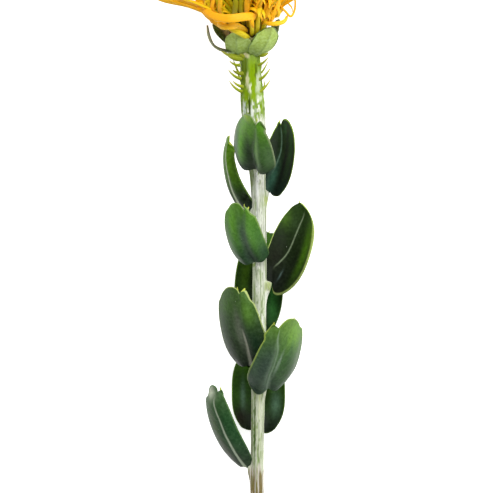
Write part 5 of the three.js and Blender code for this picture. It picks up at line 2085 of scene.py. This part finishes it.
@dataclass
class Cup:
    """The scaly cup under the florets."""

    socket: Socket
    sweep: Sweep
    bottom: float = -2
    rim: float = 3.4
    foot_radius: float = 5.2
    rim_radius: float = 10.0
    lip: Spots = ((3.4, 10.2), (3.4, 9.7), (2.4, 9.0), (1.2, 8.0))
    rows: int = 5
    row_step: float = 1.05
    first_row: float = -0.2
    scales: int = 16
    scale_points: int = 7
    scale_length: float = 3.0
    scale_width: float = 1.75
    scale_lift: float = 0.15

    def wall(self, height: Any) -> Array:
        """The wall's distance from the axis at heights."""
        share = np.clip((np.asarray(height, float) - self.bottom) / (self.rim - self.bottom), 0, 1)
        return self.foot_radius + (self.rim_radius - self.foot_radius) * np.sqrt(share)

    def build(self) -> None:
        """Makes the wall and its scales."""
        heights = np.linspace(self.bottom + 0.4, self.rim - 0.2, 9)
        heights = np.concatenate([[self.bottom, self.bottom + 0.1], heights])
        profile = np.vstack([np.stack([heights, self.wall(heights)], 1), self.lip])
        azimuth = around(64)[None]
        height, distance = (profile[:, k : k + 1] + 0 * azimuth for k in (0, 1))
        skin = Skin()
        skin.loft(self.socket.point(height, distance, azimuth))
        finish = PlainFinish("cup_bract", "a8ad72", "6c6a3a", 0.8, 0.3)
        dress(skin.piece("cup_wall"), finish.material(), "cup", "cup")
        guides = Guides()
        s = np.linspace(0, 1, self.scale_points)
        wide = self.scale_width * np.sin(math.pi * (0.3 + 0.68 * s)) * MM
        lift = self.scale_lift + 0.5 * s * (1 - s) + 0.35 * s**3
        for row in range(self.rows):
            height = self.bottom + self.first_row + row * self.row_step + self.scale_length * s
            for n in range(self.scales):
                turn = (n + 0.5 * (row % 2)) / self.scales * 2 * math.pi
                line = self.socket.point(height, self.wall(height) + lift, turn)
                facing = self.socket.way(math.pi / 2, turn)[None].repeat(len(s), 0)
                guides.add(line, radius=wide, facing=facing)
        self.sweep.grow(guides, "cup_scales", finish, "cup", "cup", Sides=8, Flatness=0.22)


@dataclass
class Awls:
    """The small awl-shaped leaves on the green stalk under the head."""

    stem: Stem
    sweep: Sweep
    count: int = 26
    from_y: float = 72
    to_y: float = 90
    length: float = 7.2
    radius: float = 0.72
    under: float = -0.35
    points: int = 12
    root_lift: float = 2.6
    tip_lift: float = 3.6
    seed: int = 5
    # Place of the tip, place of the root, and size.
    shown: tuple[tuple[float, float, float, float, float], ...] = (
        (-8.5, 92.4, -3.2, 90.2, 1.0), (-6.6, 93, -4, 86.6, 0.9), (-9.1, 88, -2.6, 83.4, 1.15),
        (-6.9, 87.8, -0.8, 86.4, 1.3), (-8.6, 82.4, -2.2, 77, 1.15), (-6.8, 82.4, -0.2, 79.4, 1.25),
        (10.9, 94.3, 5.9, 90.2, 1.05), (11, 96.4, 5.8, 95.6, 1.4), (12, 89, 6.6, 83, 1.1),
        (10.8, 92.4, 7.4, 86.4, 0.8), (12.1, 83.3, 4.6, 75.6, 1.15), (-13, 97.8, -3, 95.2, 1.5),
        (-10.4, 96.2, -2, 93.8, 1.9), (-4, 96.6, 0.6, 94, 1.8),
    )

    def line_from(self, tip_x: float, tip_y: float, root_x: float, root_y: float) -> Array:
        """Path of an awl on the stalk's upper side.

        Args:
            tip_x: The tip's place across.
            tip_y: The tip's place along.
            root_x: The root's place across.
            root_y: The root's place along.

        Returns:
            Points from the root to the tip.
        """
        height = float(self.stem.height(root_y))
        root = np.array([root_x, root_y, height + self.root_lift])
        tip = np.array([tip_x, tip_y, height + self.tip_lift])
        bend = root * 0.42 + tip * 0.58 + np.array([0, -0.3 * abs(tip_x - root_x), 0.8])
        return Arc(np.array([root, bend, tip])).at(np.linspace(0, 1, self.points))

    def build(self) -> None:
        """Makes the awls."""
        rng = np.random.default_rng(self.seed)
        s = np.linspace(0, 1, self.points)
        lines = [(self.line_from(*place[:4]), place[4]) for place in self.shown]
        for number in range(self.count):
            y = self.from_y + (number + 0.5) / self.count * (self.to_y - self.from_y)
            angle = number * GOLDEN_ANGLE + 0.4 * rng.uniform(-0.5, 0.5)
            length = self.length * (0.85 + 0.3 * rng.uniform())
            if math.sin(angle) > self.under:
                continue
            radius = float(self.stem.radius(y, angle))
            rise = np.array(((0.2, 0.16), (0.52, 0.3), (0.95, 0.34))) * length
            rise = np.vstack([(-0.8, -1.0), rise])
            bends = [self.stem.beside(y + dy, angle, radius + out) for dy, out in rise]
            lines.append((Arc(np.array(bends)).at(s), 0.9))
        guides = Guides()
        slender = (1.25 - 0.35 * s) * np.sqrt(np.clip(1 - s**2.2, 0.02, 1))
        for line, size in lines:
            away = line - self.stem.axis(line[:, 1])
            along = tangents(line)
            facing = unit(away - along * dot(away, along))
            wide = self.radius * size * slender * MM
            guides.add(line, radius=wide, facing=facing, along=s, tone=rng.uniform())
        green = FloretFinish("awl_green", "8c9a18", "98a41c", "b4b04a", "7c8414", 0.5)
        self.sweep.grow(guides, "awl_leaves", green, "stem", "stem", Sides=8, Flatness=0.7)


# The studio


@dataclass(frozen=True)
class Studio:
    """A pale floor, soft light and the camera straight above the flower."""

    camera_height: float = 3.0
    reference_height: float = 0.025
    pixel: float = 0.0005
    picture: int = 493
    sensor: float = 36.0
    clip_end: float = 20
    floor: float = 3.0
    floor_drop: float = 0.0004
    floor_grey: float = 0.9
    floor_light: float = 0.8
    room_light: float = 0.36
    lamps: tuple[tuple[str, Place, float, float], ...] = (
        ("key", (0.25, 0.95, 1.45), 0.9, 30),
        ("side", (1.2, 0.3, 0.8), 0.7, 7),
    )

    def build_floor(self) -> None:
        """Makes the floor."""
        mesh = bpy.data.meshes.new("floor")
        a, z = self.floor / 2, -self.floor_drop
        mesh.from_pydata([(-a, -a, z), (a, -a, z), (a, a, z), (-a, a, z)], [], [(0, 1, 2, 3)])
        made = linked("floor", mesh)
        grey = (self.floor_grey,) * 3 + (1,)
        glow = {"Emission_Color": (1, 1, 1, 1), "Emission_Strength": self.floor_light}
        paper = Shader("floor_paper").finish(grey, 0.95, Specular_IOR_Level=0.1, **glow)
        mesh.materials.append(paper)

    def build_camera(self) -> None:
        """Makes the camera."""
        data = bpy.data.cameras.new("camera")
        distance = self.camera_height - self.reference_height
        data.sensor_width = self.sensor
        data.lens = self.sensor * distance / (self.pixel * self.picture)
        data.clip_end = self.clip_end
        camera = linked("camera", data)
        camera.location = (-ORIGIN[0] * MM, -ORIGIN[1] * MM, self.camera_height)
        bpy.context.scene.camera = camera

    def build_lamp(self, name: str, place: Place, size: float, power: float) -> None:
        """Makes a soft lamp that shines on the flower.

        Args:
            name: The lamp's name.
            place: Its place in metres.
            size: Its side in metres.
            power: Its power in watts.
        """
        data = bpy.data.lights.new(name, "AREA")
        data.size, data.energy = size, power
        lamp = linked(name, data)
        lamp.location = place
        out = unit(np.array(place))
        side = unit(np.cross([0, 1, 0.01], out))
        rows = np.stack([side, np.cross(out, side), out], 1)
        lamp.rotation_euler = Matrix(rows.tolist()).to_euler()

    def build(self) -> None:
        """Makes the studio."""
        self.build_floor()
        self.build_camera()
        for lamp in self.lamps:
            self.build_lamp(*lamp)
        world = bpy.data.worlds.new("room")
        world.use_nodes = True
        light = world.node_tree.nodes["Background"].inputs
        light["Color"].default_value = (1, 1, 1, 1)
        light["Strength"].default_value = self.room_light
        bpy.context.scene.world = world
        bpy.context.scene.view_settings.view_transform = "Standard"


def main() -> None:
    """Builds every piece in order."""
    logging.basicConfig(level=logging.INFO, format="%(name)s: %(message)s")
    Studio().build()
    stem = Stem()
    stem.build()
    matt = LeafFinish("leaf_matt")
    gloss = LeafFinish("leaf_gloss", bloom_and_sheen_share=0.03, roughness=0.36, shine=0.09)
    finishes = {Side.OUTER: matt.material(), Side.UPPER: gloss.material()}
    for plan in LEAVES:
        Leaf(plan, stem).build("leaf", finishes[plan.side])
    soft = LeafFinish("collar_leather", "b9c6a4", 0.3, specks=0.0, roughness=0.5).material()
    for plan in COLLAR_LEAVES:
        leaf = Leaf(plan, stem, rows=70, columns=41, mid_thickness=0.9)
        leaf.build("collar_leaf", soft)
    socket, sweep = Socket(stem), Sweep()
    Cup(socket, sweep).build()
    Awls(stem, sweep).build()
    Head(socket, sweep).build()


if __name__ == "__main__":
    main()
